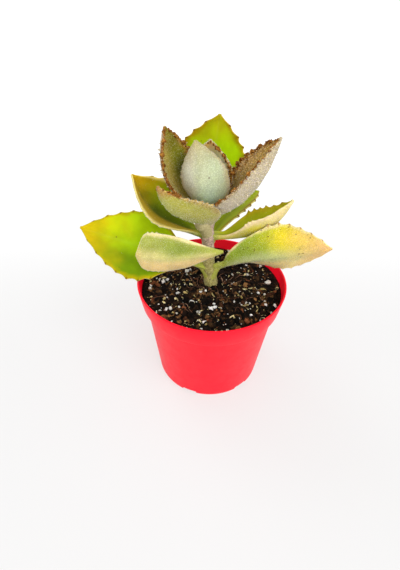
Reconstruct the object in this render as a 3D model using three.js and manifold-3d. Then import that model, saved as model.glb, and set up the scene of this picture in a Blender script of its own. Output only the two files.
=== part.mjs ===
// Potted kalanchoe: a young felt-leaved plant with six opposite pairs of leaves, standing in the
// growing mix of a round plastic nursery pot.
//
// Millimetres, +Z up. The origin is the middle of the pot's foot, and the front is -Y.
import * as THREE from 'three';
import { mergeVertices } from 'three/addons/utils/BufferGeometryUtils.js';
import Module from 'manifold-3d';

const wasm = await Module();
wasm.setup();

const { degToRad, smoothstep, seededRandom, lerp } = THREE.MathUtils;

// ---------------------------------------------------------------------------------------------
// Driving dimensions
// ---------------------------------------------------------------------------------------------

const GAP = 0.3; // clearance between two pieces that touch on the real plant
const WELD = 1e-4; // points closer than this are one point

const POT = {
  height: 71,
  rimRadius: 45, // outside, at the top of the collar
  collarRadius: 42.8, // outside, at the bottom of the collar
  collarHeight: 13.3,
  shoulderRadius: 40.5, // outside of the body just under the collar
  footRadius: 34.3,
  wall: 1.2,
  floor: 1.8,
  edge: 0.5, // chamfer on the rim and the foot
  sides: 64,
};

// Drainage notches in the foot, seen from outside as low slots.
const NOTCH = { count: 6, firstAngle: -111, width: 9.5, depth: 2.6, height: 2 };

const SOIL = {
  middleZ: 63.4, // top surface at the middle
  edgeZ: 64.8, // and at the pot's wall
  rings: 7,
  sides: 36,
  waves: [ // unevenness of the surface: radians per millimetre along X and along Y, and height
    { x: 0.55, y: 0.43, height: 0.3 },
    { x: -0.34, y: 0.52, height: 0.25 },
    { x: 0.23, y: -0.61, height: 0.25 },
  ],
  edgeFade: 4, // power of the radius with which the waves die out towards the wall
};

// Perlite grains and bark chips in the surface. A grain's size is half its width.
const GRAIN = {
  count: 44,
  seed: 41,
  size: [0.9, 2.1],
  length: 1.4, // over its width
  height: [0.5, 1], // over its width
  rise: 0.15, // share of its height that its middle stands above the surface
};

const STEM = {
  radius: 3.65,
  footRadius: 4.3,
  tipRadius: 2.6,
  nodeSwell: 0.55,
  nodeLength: 3, // how far along the stem a node's swelling reaches
  pegDepth: 14, // length that stands in the soil's hole
  sides: 14,
  steps: 22,
};

// The stem leans a little, and carries a pair of leaves at each node.
const NODE = {
  soil: [-0.4, 5, 63.4],
  first: [-1.5, 5, 74.6],
  second: [-2.9, 5, 87.8],
  third: [-3.3, 5, 97.4],
  fourth: [-3.8, 5, 105.5],
  fifth: [-4.3, 5, 112.4],
  tip: [-5, 5, 119],
};

// Thickness of a leaf at its stalk, at the midrib where the blade starts and at its tip, and at the
// margin. "thinning" is the share of the leaf over which the stalk thins to the blade.
const THICK = { stalk: 4.2, midrib: 2.3, tip: 1.3, margin: 0.9, thinning: 0.2 };

// What a leaf is unless its own line says otherwise. Shares run from 0 at the stem to 1 at the tip,
// and pairs are for the left and the right half of the blade.
const LEAF = {
  stalk: 0.18, // share where the blade starts
  stalkWidth: 6,
  thick: THICK.stalk, // of the blade where it starts
  halves: [1, 1], // how much of the full width each half has
  widest: 0.58, // share where the blade is widest
  shoulder: [1.2, 1.2], // below 1 the blade fills out fast above its stalk, above 1 slowly
  point: [1.4, 1.4], // 1 gives a straight-sided point, more a rounder one
  tipWidth: 1.2,
  roll: [0, 0], // turn of the blade round its midrib, at the stalk and where it is rolled
  rolled: 0.7, // share where the turn is complete
  fold: 10, // how far each half rises from the midrib
  cup: 10, // how much further it rises towards its margin
  teeth: 6, // on each margin
  toothed: 0.45, // share where the teeth start
  toothDepth: 1.5,
  tubercles: 0, // in each of the two rows on the underside
};

// A tooth's place between two valleys, how much smaller the last tooth is than the first, and how
// close to the margin the blade starts to bulge towards it: the higher, the closer.
const TOOTH = { peak: 0.6, fade: 0.5, reach: 6 };

// Midrib paths are cubic curves from a node of the stem to the leaf's tip. "across" is the compass
// heading of the leaf, anticlockwise from +X: the blade's two halves lie to its left and right.
const LEAVES = {
  leaf_low_left: {
    path: [NODE.first, [-22, 5, 83], [-50, 6, 90], [-76.6, 7.6, 99.5]],
    across: 180, width: 40, roll: [0, -55], fold: 8, point: [1.7, 1.7], teeth: 7, toothed: 0.4,
    toothDepth: 1.1,
  },
  leaf_low_right: {
    path: [NODE.first, [19, 0, 87], [41.5, -3, 89.5], [66, -3, 96.2]],
    across: 0, width: 41, roll: [-45, -75], fold: 12, stalk: 0.17, widest: 0.6,
    shoulder: [1, 0.5], point: [2.1, 1.8], teeth: 6, toothed: 0.5, toothDepth: 1.2,
  },
  leaf_front: {
    path: [[5, -11, 97.6], [-8, -15, 97.5], [-25.5, -17.5, 95], [-41.5, -15, 97]],
    across: 188, width: 28, halves: [0.9, 1], roll: [90, 90], fold: 17, cup: 12, stalk: 0,
    stalkWidth: 1.6, thick: 1.2, widest: 0.78, shoulder: [1.3, 1.3], point: [6, 6], teeth: 4,
    toothed: 0.74, toothDepth: 1.2,
    petiole: [[-2.6, 3.2, 88], [-2.2, -1, 90], [-1.5, -6, 93], [-3, -12, 97]],
  },
  leaf_back_right: {
    path: [NODE.second, [2, 13, 101.5], [14, 24, 107], [27, 32, 113]],
    across: 45, width: 24, halves: [1, 0.8], roll: [-10, -8], fold: 15, widest: 0.65,
    point: [2.4, 2.4], teeth: 5,
  },
  leaf_mid_left: {
    path: [NODE.third, [-17, 6, 101], [-38, 8, 104], [-45, 13, 129.5]],
    across: 168, width: 36, halves: [1, 1.2], roll: [0, -12], fold: 26, widest: 0.62,
    point: [1.8, 2.8], teeth: 6, toothed: 0.5,
  },
  leaf_mid_right: {
    path: [NODE.third, [12, 6.5, 96], [33, 3.5, 94.5], [39.7, -0.5, 123.5]],
    across: -12, width: 30, roll: [0, -10], fold: 36, cup: 15, point: [2, 2], teeth: 6,
  },
  leaf_front_left: {
    path: [NODE.fourth, [-13, -6, 113], [-27, -17, 121], [-27, -20, 138]],
    across: 225, width: 37, halves: [1, 0.45], fold: 30, cup: 20, stalk: 0, stalkWidth: 9,
    widest: 0.4, shoulder: [0.6, 0.6], point: [2, 2], teeth: 7, toothed: 0.4, toothDepth: 1,
  },
  leaf_back: {
    path: [NODE.fourth, [-4, 19, 114], [-1, 29, 132.5], [1, 27, 157]],
    across: 80, width: 32, halves: [1.12, 1.03], fold: 5, cup: 20, stalk: 0.12, widest: 0.74,
    shoulder: [1.3, 1.3], point: [1.5, 1.5], teeth: 7, toothed: 0.5, toothDepth: 1.7,
  },
  leaf_top_left: {
    path: [NODE.fifth, [-19, 8.5, 118], [-33, 11, 131], [-25.8, 8, 155.7]],
    across: 165, width: 30, halves: [1, 1.15], roll: [0, -8], fold: 20, cup: 20, stalk: 0.12,
    widest: 0.5, point: [2.6, 4], teeth: 8, toothed: 0.35, toothDepth: 1.4, tubercles: 4,
  },
  leaf_top_right: {
    path: [NODE.fifth, [10, 4, 111], [23.2, -8, 131.5], [26, -12, 158]],
    across: -30, width: 33, halves: [1, 1.13], roll: [15, 24], fold: 33, cup: 20, stalk: 0.14,
    widest: 0.52, shoulder: [1.5, 1.5], point: [2.6, 1.8], teeth: 9, toothed: 0.35,
    toothDepth: 1.5, tubercles: 5,
  },
  bud_leaf_front: {
    path: [[-5, 3, 117.5], [-5, -9, 120], [-8, -8, 140], [-11, 3, 151]],
    across: 262, width: 29, halves: [1, 0.93], fold: 8, cup: 45, stalk: 0, stalkWidth: 14,
    widest: 0.5, shoulder: [0.8, 0.8], point: [2.5, 2.5], teeth: 5, toothed: 0.6, toothDepth: 0.5,
  },
  bud_leaf_back: {
    path: [[-5, 7, 118.5], [-4, 15, 121], [-3, 14, 141], [-3.8, 7, 150]],
    across: 82, width: 27, halves: [1, 1.12], fold: 8, cup: 45, stalk: 0, stalkWidth: 12,
    widest: 0.5, shoulder: [0.8, 0.8], point: [2.6, 2.6], teeth: 5, toothed: 0.6, toothDepth: 0.7,
  },
};

// Leaves that show their pale felted underside, or are still felted all over.
const FELTED = ['leaf_low_right', 'leaf_front', 'leaf_front_left', 'leaf_top_right', 'bud_leaf_front'];

// Pointed bumps along both sides of the midrib, from the share "first" to the share "last".
const TUBERCLE = { radius: 0.8, height: 1.3, sides: 4, first: 0.35, last: 0.85, side: 0.35 };

// How finely a blade is built: rows along its whole length where it has no teeth, and the places of
// its points over its width, from the right margin at -1 to the left one at 1. "inward" is how far
// a point of the upper face may shift towards the midrib, as a share of the way there.
const BLADE = {
  rows: 10,
  fewestRows: 3,
  columns: [-1, -0.66, -0.33, 0, 0.33, 0.66, 1],
  inward: 0.7,
};

const PETIOLE = { steps: 8, curveSegments: 8 };

// ---------------------------------------------------------------------------------------------
// Materials
// ---------------------------------------------------------------------------------------------

const plastic = new THREE.MeshStandardMaterial({ color: 0xe0242c, roughness: 0.45, metalness: 0 });
const mix = new THREE.MeshStandardMaterial({ color: 0x2c211b, roughness: 0.95, metalness: 0 });
const bark = new THREE.MeshStandardMaterial({ color: 0xa8a078, roughness: 0.85, metalness: 0 });
const limeLeaf = new THREE.MeshStandardMaterial({ color: 0xa4b422, roughness: 0.7, metalness: 0 });
const feltLeaf = new THREE.MeshStandardMaterial({ color: 0xb9c096, roughness: 0.85, metalness: 0 });

// ---------------------------------------------------------------------------------------------
// From meshes to solids and back
// ---------------------------------------------------------------------------------------------

function solidOf(geometry) {
  const bare = new THREE.BufferGeometry();
  bare.setAttribute('position', geometry.getAttribute('position').clone());
  if (geometry.index) bare.setIndex(geometry.index.clone());
  const merged = mergeVertices(bare, WELD);
  return new wasm.Manifold(new wasm.Mesh({
    numProp: 3,
    vertProperties: new Float32Array(merged.getAttribute('position').array),
    triVerts: new Uint32Array(merged.index.array),
  }));
}

// What is left of a cut solid without its loose scraps.
function mainBody(solid) {
  const [largest] = solid.decompose().sort((a, b) => b.volume() - a.volume());
  return largest;
}

function geometryOf(solid) {
  const { vertProperties, triVerts } = solid.getMesh();
  const geometry = new THREE.BufferGeometry();
  geometry.setAttribute('position', new THREE.BufferAttribute(vertProperties, 3));
  geometry.setIndex(new THREE.BufferAttribute(triVerts, 1));
  geometry.computeVertexNormals();
  return geometry;
}

function piece(name, solid, material) {
  const mesh = new THREE.Mesh(geometryOf(solid), material);
  mesh.name = name;
  return mesh;
}

// Closed skin through rings of equally many points, each ring anticlockwise seen from its far end.
function loft(rings) {
  const count = rings[0].length;
  const positions = rings.flat().flatMap((p) => [p.x, p.y, p.z]);
  const faces = [];
  for (let i = 0; i < rings.length - 1; i += 1) {
    for (let j = 0; j < count; j += 1) {
      const here = i * count + j;
      const next = i * count + (j + 1) % count;
      faces.push(here, next, next + count, here, next + count, here + count);
    }
  }
  const end = (rings.length - 1) * count;
  for (let j = 1; j < count - 1; j += 1) {
    faces.push(0, j + 1, j, end, end + j, end + j + 1);
  }
  const geometry = new THREE.BufferGeometry();
  geometry.setAttribute('position', new THREE.Float32BufferAttribute(positions, 3));
  geometry.setIndex(faces);
  return geometry;
}

const vector = (point) => new THREE.Vector3(...point);

const bezier = (path) => new THREE.CubicBezierCurve3(...path.map(vector));

// ---------------------------------------------------------------------------------------------
// Pot
// ---------------------------------------------------------------------------------------------

const collarZ = POT.height - POT.collarHeight;
const ledgeZ = collarZ + POT.wall;

// Inside radius of the collar, and of the body below it, at a height.
function collarInside(z) {
  return lerp(POT.collarRadius, POT.rimRadius, (z - collarZ) / POT.collarHeight) - POT.wall;
}

function bodyInside(z) {
  return lerp(POT.footRadius, POT.shoulderRadius, z / collarZ) - POT.wall;
}

function pot() {
  const profile = [
    [0, 0],
    [POT.footRadius - POT.edge, 0],
    [POT.footRadius, POT.edge],
    [POT.shoulderRadius, collarZ],
    [POT.collarRadius - POT.edge, collarZ],
    [POT.collarRadius, collarZ + POT.edge],
    [POT.rimRadius, POT.height - POT.edge],
    [POT.rimRadius - POT.edge / 2, POT.height],
    [POT.rimRadius - POT.wall + POT.edge / 2, POT.height],
    [POT.rimRadius - POT.wall, POT.height - POT.edge],
    [collarInside(ledgeZ), ledgeZ],
    [bodyInside(ledgeZ), ledgeZ],
    [bodyInside(POT.floor + POT.edge), POT.floor + POT.edge],
    [bodyInside(POT.floor) - POT.edge, POT.floor],
    [0, POT.floor],
  ].map(([radius, z]) => new THREE.Vector2(radius, z));
  // A lathe turns its profile round Y, so the shell is stood up along Z.
  const shell = new THREE.LatheGeometry(profile, POT.sides).rotateX(Math.PI / 2);
  let solid = solidOf(shell);
  for (let i = 0; i < NOTCH.count; i += 1) {
    const cutter = new THREE.BoxGeometry(2 * NOTCH.depth, NOTCH.width, 2 * NOTCH.height);
    cutter.translate(POT.footRadius, 0, 0);
    cutter.rotateZ(degToRad(NOTCH.firstAngle + 360 / NOTCH.count * i));
    solid = solid.subtract(solidOf(cutter));
  }
  return solid;
}

// ---------------------------------------------------------------------------------------------
// Stem
// ---------------------------------------------------------------------------------------------

const stemCurve = new THREE.CatmullRomCurve3([
  [NODE.soil[0], NODE.soil[1], NODE.soil[2] - STEM.pegDepth],
  ...Object.values(NODE),
].map(vector));

function stemRadius(z) {
  const foot = smoothstep(NODE.first[2] - z, 0, NODE.first[2] - NODE.soil[2]);
  const tip = smoothstep(z, NODE.fourth[2], NODE.tip[2]);
  let radius = lerp(lerp(STEM.radius, STEM.footRadius, foot), STEM.tipRadius, tip);
  for (const node of [NODE.first, NODE.second, NODE.third, NODE.fourth]) {
    radius += STEM.nodeSwell * Math.max(0, 1 - Math.abs(z - node[2]) / STEM.nodeLength);
  }
  return radius;
}

// The stem as a solid, grown by "extra" all round for the holes that it passes through.
function stem(extra = 0) {
  const rings = [];
  for (let i = 0; i <= STEM.steps; i += 1) {
    const centre = stemCurve.getPoint(i / STEM.steps);
    if (i === 0) centre.z -= extra;
    if (i === STEM.steps) centre.z += extra;
    const radius = stemRadius(centre.z) + extra;
    rings.push(Array.from({ length: STEM.sides }, (_, j) => {
      const angle = 2 * Math.PI * j / STEM.sides;
      return new THREE.Vector3(radius * Math.cos(angle), radius * Math.sin(angle), 0).add(centre);
    }));
  }
  return solidOf(loft(rings));
}

// ---------------------------------------------------------------------------------------------
// Soil
// ---------------------------------------------------------------------------------------------

function soilTop(x, y) {
  const share = Math.hypot(x, y) / collarInside(SOIL.edgeZ);
  let z = lerp(SOIL.middleZ, SOIL.edgeZ, share * share);
  for (const wave of SOIL.waves) {
    z += wave.height * Math.sin(wave.x * x + wave.y * y) * (1 - share ** SOIL.edgeFade);
  }
  return z;
}

// The mix fills the pot from just above its floor, round the ledge under the collar, to the top.
function soilBody() {
  const ring = (radius, z) => Array.from({ length: SOIL.sides }, (_, j) => {
    const angle = 2 * Math.PI * j / SOIL.sides;
    const x = radius * Math.cos(angle);
    const y = radius * Math.sin(angle);
    return new THREE.Vector3(x, y, z ?? soilTop(x, y));
  });
  // The pot's wall has many short flats: what fits inside them clears their middles too.
  const fit = (radius) => radius * Math.cos(Math.PI / POT.sides) - GAP;
  const bottom = POT.floor + GAP;
  const rings = [
    ring(fit(bodyInside(POT.floor)) - POT.edge, bottom),
    ring(fit(bodyInside(POT.floor + POT.edge)), bottom + POT.edge),
    ring(fit(bodyInside(ledgeZ)), ledgeZ + GAP),
    ring(fit(collarInside(ledgeZ)), ledgeZ + GAP),
  ];
  for (let i = SOIL.rings; i > 0; i -= 1) {
    rings.push(ring(fit(collarInside(SOIL.edgeZ)) * i / SOIL.rings));
  }
  return loft(rings);
}

// Grains lie scattered over the surface, sunk into it, clear of the stem and of the pot's wall.
function grains() {
  const made = [];
  seededRandom(GRAIN.seed);
  while (made.length < GRAIN.count) {
    const size = lerp(...GRAIN.size, seededRandom() ** 2);
    const reach = GRAIN.length * size + GAP;
    const radius = Math.sqrt(seededRandom()) * (collarInside(SOIL.middleZ) - reach);
    const angle = 2 * Math.PI * seededRandom();
    const x = radius * Math.cos(angle);
    const y = radius * Math.sin(angle);
    const turn = seededRandom() * Math.PI;
    const height = lerp(...GRAIN.height, seededRandom());
    if (Math.hypot(x - NODE.soil[0], y - NODE.soil[1]) < STEM.footRadius + reach) continue;
    const grain = new THREE.IcosahedronGeometry(size, 0);
    grain.scale(GRAIN.length, 1, height).rotateZ(turn);
    grain.translate(x, y, soilTop(x, y) + GRAIN.rise * size * height);
    made.push(grain);
  }
  return made;
}

function soil() {
  let solid = solidOf(soilBody());
  for (const grain of grains()) solid = solid.add(solidOf(grain));
  return mainBody(solid.subtract(stem(GAP)));
}

// ---------------------------------------------------------------------------------------------
// Leaves
// ---------------------------------------------------------------------------------------------

// Width of the blade's left (side 0) or right (side 1) half, without its teeth.
function halfWidth(leaf, t, side) {
  const stalk = leaf.stalkWidth / 2;
  const widest = leaf.width / 2;
  if (t <= leaf.stalk) return stalk * leaf.halves[side];
  if (t < leaf.widest) {
    const s = (t - leaf.stalk) / (leaf.widest - leaf.stalk);
    const share = Math.sin(Math.PI / 2 * s) ** leaf.shoulder[side];
    return lerp(stalk, widest, share) * leaf.halves[side];
  }
  const s = (t - leaf.widest) / (1 - leaf.widest);
  return Math.max(widest * (1 - s ** leaf.point[side]), leaf.tipWidth / 2) * leaf.halves[side];
}

// Stations along the leaf: evenly spaced up to the first tooth, then each valley and each peak.
function stations(leaf) {
  const plainRows = Math.max(BLADE.fewestRows, Math.round(leaf.toothed * BLADE.rows));
  const rows = [];
  for (let i = 0; i < plainRows; i += 1) rows.push({ t: leaf.toothed * i / plainRows, tooth: 0 });
  // The last valley and the tip share one tooth's pitch between them.
  const pitch = (1 - leaf.toothed) / (leaf.teeth + 0.5);
  for (let i = 0; i < leaf.teeth; i += 1) {
    const valley = leaf.toothed + pitch * i;
    const tooth = leaf.toothDepth * (1 - TOOTH.fade * i / leaf.teeth);
    rows.push({ t: valley, tooth: 0 });
    rows.push({ t: valley + TOOTH.peak * pitch, tooth });
  }
  rows.push({ t: 1 - pitch / 2, tooth: 0 });
  rows.push({ t: 1, tooth: 0 });
  return rows;
}

// Directions at a share t of the midrib: along it, across it to the leaf's left, and up from the face.
function frameAt(leaf, curve, t) {
  const along = curve.getTangent(t);
  const heading = degToRad(leaf.across);
  const level = new THREE.Vector3(-Math.sin(heading), Math.cos(heading), 0);
  level.addScaledVector(along, -level.dot(along)).normalize();
  const roll = degToRad(lerp(...leaf.roll, smoothstep(t, 0, leaf.rolled)));
  const across = level.applyAxisAngle(along, roll);
  const up = new THREE.Vector3().crossVectors(along, across);
  return { centre: curve.getPoint(t), across, up };
}

// Point of the folded and cupped blade at u, which runs from -1 to 1 over its width, raised by
// "lift" square to the blade.
function bladePoint(leaf, frame, half, u, lift) {
  const fold = degToRad(leaf.fold);
  const cup = degToRad(leaf.cup);
  const side = Math.sign(u);
  const slope = fold + cup * Math.abs(u);
  const out = side * half * (Math.sin(slope) - Math.sin(fold)) / cup;
  const rise = half * (Math.cos(fold) - Math.cos(slope)) / cup;
  const lean = side === 0 ? 0 : slope;
  const square = side === 0 ? 1 / Math.cos(fold) : 1;
  // Where a folded stalk is thicker than wide, the faces of its two halves must not cross.
  const inward = Math.min(lift * Math.sin(lean), BLADE.inward * Math.abs(out));
  return frame.centre.clone()
    .addScaledVector(frame.across, out - side * inward)
    .addScaledVector(frame.up, rise + lift * square * Math.cos(lean));
}

function thickness(leaf, t, u) {
  const body = lerp(THICK.midrib, THICK.tip, t);
  const middle = lerp(leaf.thick, body, smoothstep(t, 0, leaf.stalk + THICK.thinning));
  return lerp(THICK.margin, middle, 1 - u * u);
}

// A blade is a grid of points over its two faces, split into triangles alike on both.
function blade(leaf) {
  const curve = bezier(leaf.path);
  const width = BLADE.columns.length;
  const rows = stations(leaf);
  const positions = [];
  for (const { t, tooth } of rows) {
    const frame = frameAt(leaf, curve, t);
    for (const face of [0.5, -0.5]) {
      for (const u of BLADE.columns) {
        const half = halfWidth(leaf, t, u > 0 ? 0 : 1) + tooth * Math.abs(u) ** TOOTH.reach;
        const point = bladePoint(leaf, frame, half, u, face * thickness(leaf, t, u));
        positions.push(point.x, point.y, point.z);
      }
    }
  }
  const faces = [];
  const top = (i, j) => i * 2 * width + j;
  const under = (i, j) => top(i, j) + width;
  const quad = (a, b, c, d) => faces.push(a, b, c, a, c, d);
  for (let i = 0; i < rows.length - 1; i += 1) {
    for (let j = 0; j < width - 1; j += 1) {
      if (j < width / 2 - 1) {
        quad(top(i, j), top(i + 1, j), top(i + 1, j + 1), top(i, j + 1));
        quad(under(i, j), under(i, j + 1), under(i + 1, j + 1), under(i + 1, j));
      } else {
        quad(top(i + 1, j), top(i + 1, j + 1), top(i, j + 1), top(i, j));
        quad(under(i, j + 1), under(i + 1, j + 1), under(i + 1, j), under(i, j));
      }
    }
    quad(top(i, 0), under(i, 0), under(i + 1, 0), top(i + 1, 0));
    quad(top(i, width - 1), top(i + 1, width - 1), under(i + 1, width - 1), under(i, width - 1));
  }
  const last = rows.length - 1;
  for (let j = 0; j < width - 1; j += 1) {
    quad(top(0, j), top(0, j + 1), under(0, j + 1), under(0, j));
    quad(top(last, j), under(last, j), under(last, j + 1), top(last, j + 1));
  }
  const geometry = new THREE.BufferGeometry();
  geometry.setAttribute('position', new THREE.Float32BufferAttribute(positions, 3));
  geometry.setIndex(faces);
  return geometry;
}

// Round stalk of a leaf that turns away from the stem before its blade starts.
function petiole(path) {
  const section = new THREE.Shape().absarc(0, 0, THICK.stalk / 2, 0, 2 * Math.PI);
  return new THREE.ExtrudeGeometry(section, { ...PETIOLE, extrudePath: bezier(path) });
}

// Bumps stand square to the underside, each rooted in the blade.
function tubercles(leaf) {
  const curve = bezier(leaf.path);
  const made = [];
  for (let i = 0; i < leaf.tubercles; i += 1) {
    const t = lerp(TUBERCLE.first, TUBERCLE.last, i / (leaf.tubercles - 1));
    const frame = frameAt(leaf, curve, t);
    for (const [side, u] of [TUBERCLE.side, -TUBERCLE.side].entries()) {
      const root = bladePoint(leaf, frame, halfWidth(leaf, t, side), u, 0);
      const tip = bladePoint(leaf, frame, halfWidth(leaf, t, side), u, -1);
      const out = tip.sub(root).normalize();
      // Half of the cone's height is sunk, and the rest stands out of the blade's half thickness.
      const height = TUBERCLE.height + thickness(leaf, t, u) / 2;
      const cone = new THREE.ConeGeometry(TUBERCLE.radius, height, TUBERCLE.sides);
      const turn = new THREE.Quaternion().setFromUnitVectors(new THREE.Vector3(0, 1, 0), out);
      cone.applyQuaternion(turn);
      cone.translate(...root.addScaledVector(out, height / 2).toArray());
      made.push(cone);
    }
  }
  return made;
}

function leafSolid(own, stemHole) {
  const leaf = { ...LEAF, ...own };
  let solid = solidOf(blade(leaf));
  if (leaf.petiole) solid = solid.add(solidOf(petiole(leaf.petiole)));
  for (const bump of tubercles(leaf)) solid = solid.add(solidOf(bump));
  return mainBody(solid.subtract(stemHole));
}

// ---------------------------------------------------------------------------------------------
// The whole plant in its pot
// ---------------------------------------------------------------------------------------------

const plant = new THREE.Group();
plant.name = 'plant';
plant.add(piece('stem', stem(), bark));
const stemHole = stem(GAP);
for (const [name, leaf] of Object.entries(LEAVES)) {
  plant.add(piece(name, leafSolid(leaf, stemHole), FELTED.includes(name) ? feltLeaf : limeLeaf));
}

const group = new THREE.Group();
group.name = 'potted_kalanchoe';
group.add(piece('pot', pot(), plastic));
group.add(piece('soil', soil(), mix));
group.add(plant);

export default group;
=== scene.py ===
import math
import random
from dataclasses import dataclass

import bmesh
import bpy
from bpy.props import FloatProperty, FloatVectorProperty, IntProperty, PointerProperty
from mathutils import Matrix, Quaternion, Vector, noise


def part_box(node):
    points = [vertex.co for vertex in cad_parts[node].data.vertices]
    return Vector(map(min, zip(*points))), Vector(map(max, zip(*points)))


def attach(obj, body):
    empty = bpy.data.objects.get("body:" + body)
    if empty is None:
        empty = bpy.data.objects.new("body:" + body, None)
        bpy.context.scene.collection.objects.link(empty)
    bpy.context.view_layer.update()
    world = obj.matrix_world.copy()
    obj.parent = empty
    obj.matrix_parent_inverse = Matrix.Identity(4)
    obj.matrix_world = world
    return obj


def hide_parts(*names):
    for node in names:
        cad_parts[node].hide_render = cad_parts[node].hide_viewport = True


bl_info = {
    "name": "Potted kalanchoe",
    "version": (1, 0, 0),
    "blender": (4, 5, 0),
    "location": "View3D > Sidebar > Kalanchoe",
    "description": "Builds a felt-leaved kalanchoe in its nursery pot, piece by piece, and a studio round it",
    "category": "Object",
}

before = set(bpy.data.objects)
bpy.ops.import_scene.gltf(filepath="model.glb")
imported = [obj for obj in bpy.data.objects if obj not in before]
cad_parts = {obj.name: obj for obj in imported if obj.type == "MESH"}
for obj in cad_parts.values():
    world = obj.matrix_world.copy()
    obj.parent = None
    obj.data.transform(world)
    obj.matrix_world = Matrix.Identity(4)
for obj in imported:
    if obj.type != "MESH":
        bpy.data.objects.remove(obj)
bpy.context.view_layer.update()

MM = 0.001  # shapes are worked out in millimetres and scaled to metres when they are finished
POT_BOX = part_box("pot")
RIM_RADIUS = (POT_BOX[1].x - POT_BOX[0].x) / 2 / MM
POT_HEIGHT = POT_BOX[1].z / MM


# ---- The pot, the mix and the stem in numbers, in millimetres ----

COLLAR_RADIUS = RIM_RADIUS - 2.2
COLLAR_Z = POT_HEIGHT - 13.3
SHOULDER_RADIUS = RIM_RADIUS - 4.5
FOOT_RADIUS = RIM_RADIUS - 10.7
WALL = 1.2
FLOOR = 1.8
LEDGE_Z = COLLAR_Z + WALL
POT_STEPS = 160  # steps of the turn round Z

NOTCHES = 6
FIRST_NOTCH = -111  # degrees
NOTCH_SIZE = (5.2, 9.5, 4.0)  # through the wall, along it, and up, with half of it below the foot
NOTCH_ROUNDING = 1.0
ABOVE_NOTCHES = NOTCH_SIZE[2] / 2 + 0.8  # height at which the wall is plain again

SOIL_MIDDLE_Z = 63.4
SOIL_EDGE_Z = 64.8
# Three long waves of its surface: radians per millimetre along X and Y, and height.
SOIL_WAVES = ((0.55, 0.43, 0.3), (-0.34, 0.52, 0.25), (0.23, -0.61, 0.25))
SOIL_CLEARANCE = 0.3
SOIL_RINGS = 60
SOIL_STEPS = 180
LUMP_WAVES = 0.38  # radians per millimetre of the surface's largest lumps
STEM_MOUND = 6  # how far from the stem the mix is raised
ANY_TURN = 6.3  # a little over a full turn, in radians
FIBRE_STRIDES = 8  # parts of a fibre between its bends
FIBRE_RADIUS = 0.15
FIBRE_LENGTHS = (4, 11)
FIBRE_BEND = 0.5  # radians, either way
FIBRE_ARCH = 0.9
FIBRE_LIFT = 0.35  # how far a fibre's ends lie above the mix
FIBRES_REACH = 26  # how far apart the nearest and the farthest fibre begin, going out from the stem

# Middles of the stem where it leaves the mix, at its five nodes and at its tip.
STEM_NODES = (
    (-0.4, 5, 63.4), (-1.5, 5, 74.6), (-2.9, 5, 87.8), (-3.3, 5, 97.4),
    (-3.8, 5, 105.5), (-4.3, 5, 112.4), (-5, 5, 119),
)
SOIL_NODE, FIRST, SECOND, THIRD, FOURTH, FIFTH, TIP = STEM_NODES
STEM_RADIUS = 3.5
STEM_FOOT_RADIUS = 4.3
STEM_TIP_RADIUS = 2.6
STEM_RINGS = 84
STEM_DEPTH = 4  # how far its foot goes down below the mix's surface
NODE_SWELLING = 0.55
NODE_REACH = 3  # how far above and below a node the stem is swollen

# The largest grains that show in the mix: x, y, half width and kind.
LANDMARKS = (
    (-15.9, 14.9, 1.9, "perlite"), (-30.1, 3.3, 1.3, "perlite"), (35.5, 4.6, 1.9, "perlite"),
    (-34.8, 10.7, 1.0, "perlite"), (-26.0, -22.3, 1.5, "perlite"), (-0.4, -20.2, 1.4, "perlite"),
    (17.4, -4.0, 1.0, "perlite"), (-3.6, -3.4, 1.0, "perlite"), (20.5, -13.6, 0.9, "perlite"),
    (8.6, 2.6, 1.9, "hull"), (-7.1, -31.8, 1.9, "hull"), (-12.6, -32.0, 2.0, "hull"),
    (25.2, 0.1, 1.7, "hull"), (-21.0, -13.7, 1.4, "hull"), (11.3, -27.6, 1.4, "hull"),
    (-15.8, -25.7, 2.5, "bark"), (28.7, -22.9, 2.0, "bark"), (-32.5, -10.6, 2.0, "bark"),
    (30.5, -15.5, 1.6, "bark"), (-22.5, -19.0, 1.5, "bark"),
)


# ---- The leaves in numbers, in millimetres and degrees ----

STALK_THICKNESS = 4.2
STALK_RINGS = 12
STALK_SIDES = 16
MIDRIB_THICKNESS = 2.3
TIP_THICKNESS = 1.3
MARGIN_THICKNESS = 0.9
TOOTH_FADE = 0.5  # how much smaller the teeth become towards the tip
TOOTH_REACH = 6  # the higher this power, the narrower the strip that the teeth draw outwards
TOOTH_PEAK = 0.6  # share of a tooth's length at which its point lies
TOOTH_SIZE = (1.4, 0.6)  # middle and spread, over the leaf's depth of teeth
ROWS_PER_TOOTH = 10
PLAIN_ROWS = 16
COLUMNS = 22
COLUMN_CROWDING = 1.3  # how much closer the columns of points lie near the margins
PUCKER = 0.28  # unevenness of a blade
EDGE_BULGE = 0.3  # how far the middle of the margin stands out, so that the edge is round
TURNED_AT = 0.7  # share of the length at which a blade has its whole roll
MOSTLY_FELT = 0.55  # amount of felt on the underside over which a leaf looks felted
WIDTH_FOR_HAIRS = 40  # width of the leaf that the number of hairs is given for
MARGIN_HAIRS = 0.25  # share of a leaf's hairs that stand on its margin
HAIR_SEED = 23
SPIKE_ROWS = (-0.97, -0.7, -0.4, 0.03, 0.4, 0.7, 0.97)  # places over the width, 0 at the midrib
SPIKES_IN_ROW = 10
SPIKES_START = 0.26  # shares of the leaf's length, for the first spike and for each step
SPIKE_STEP = 0.07
SPIKE_HEIGHTS = (1.3, 2.7)
SPIKE_SEED = 31
TUFT_STEPS = (0.003, 0.009)  # shares of the length from one tuft of the fringe to the next
TUFT_RADII = (0.35, 0.95)
TUFT_ON_TOOTH = 0.45  # how much larger a tuft is on a tooth's point
TUBERCLE = {"radius": 0.8, "height": 1.3, "first": 0.35, "last": 0.85, "side": 0.35}
HAIR_RADIUS = 0.035
RUST_HAIR_WIDTH = 1.8  # times that of a pale hair
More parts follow.
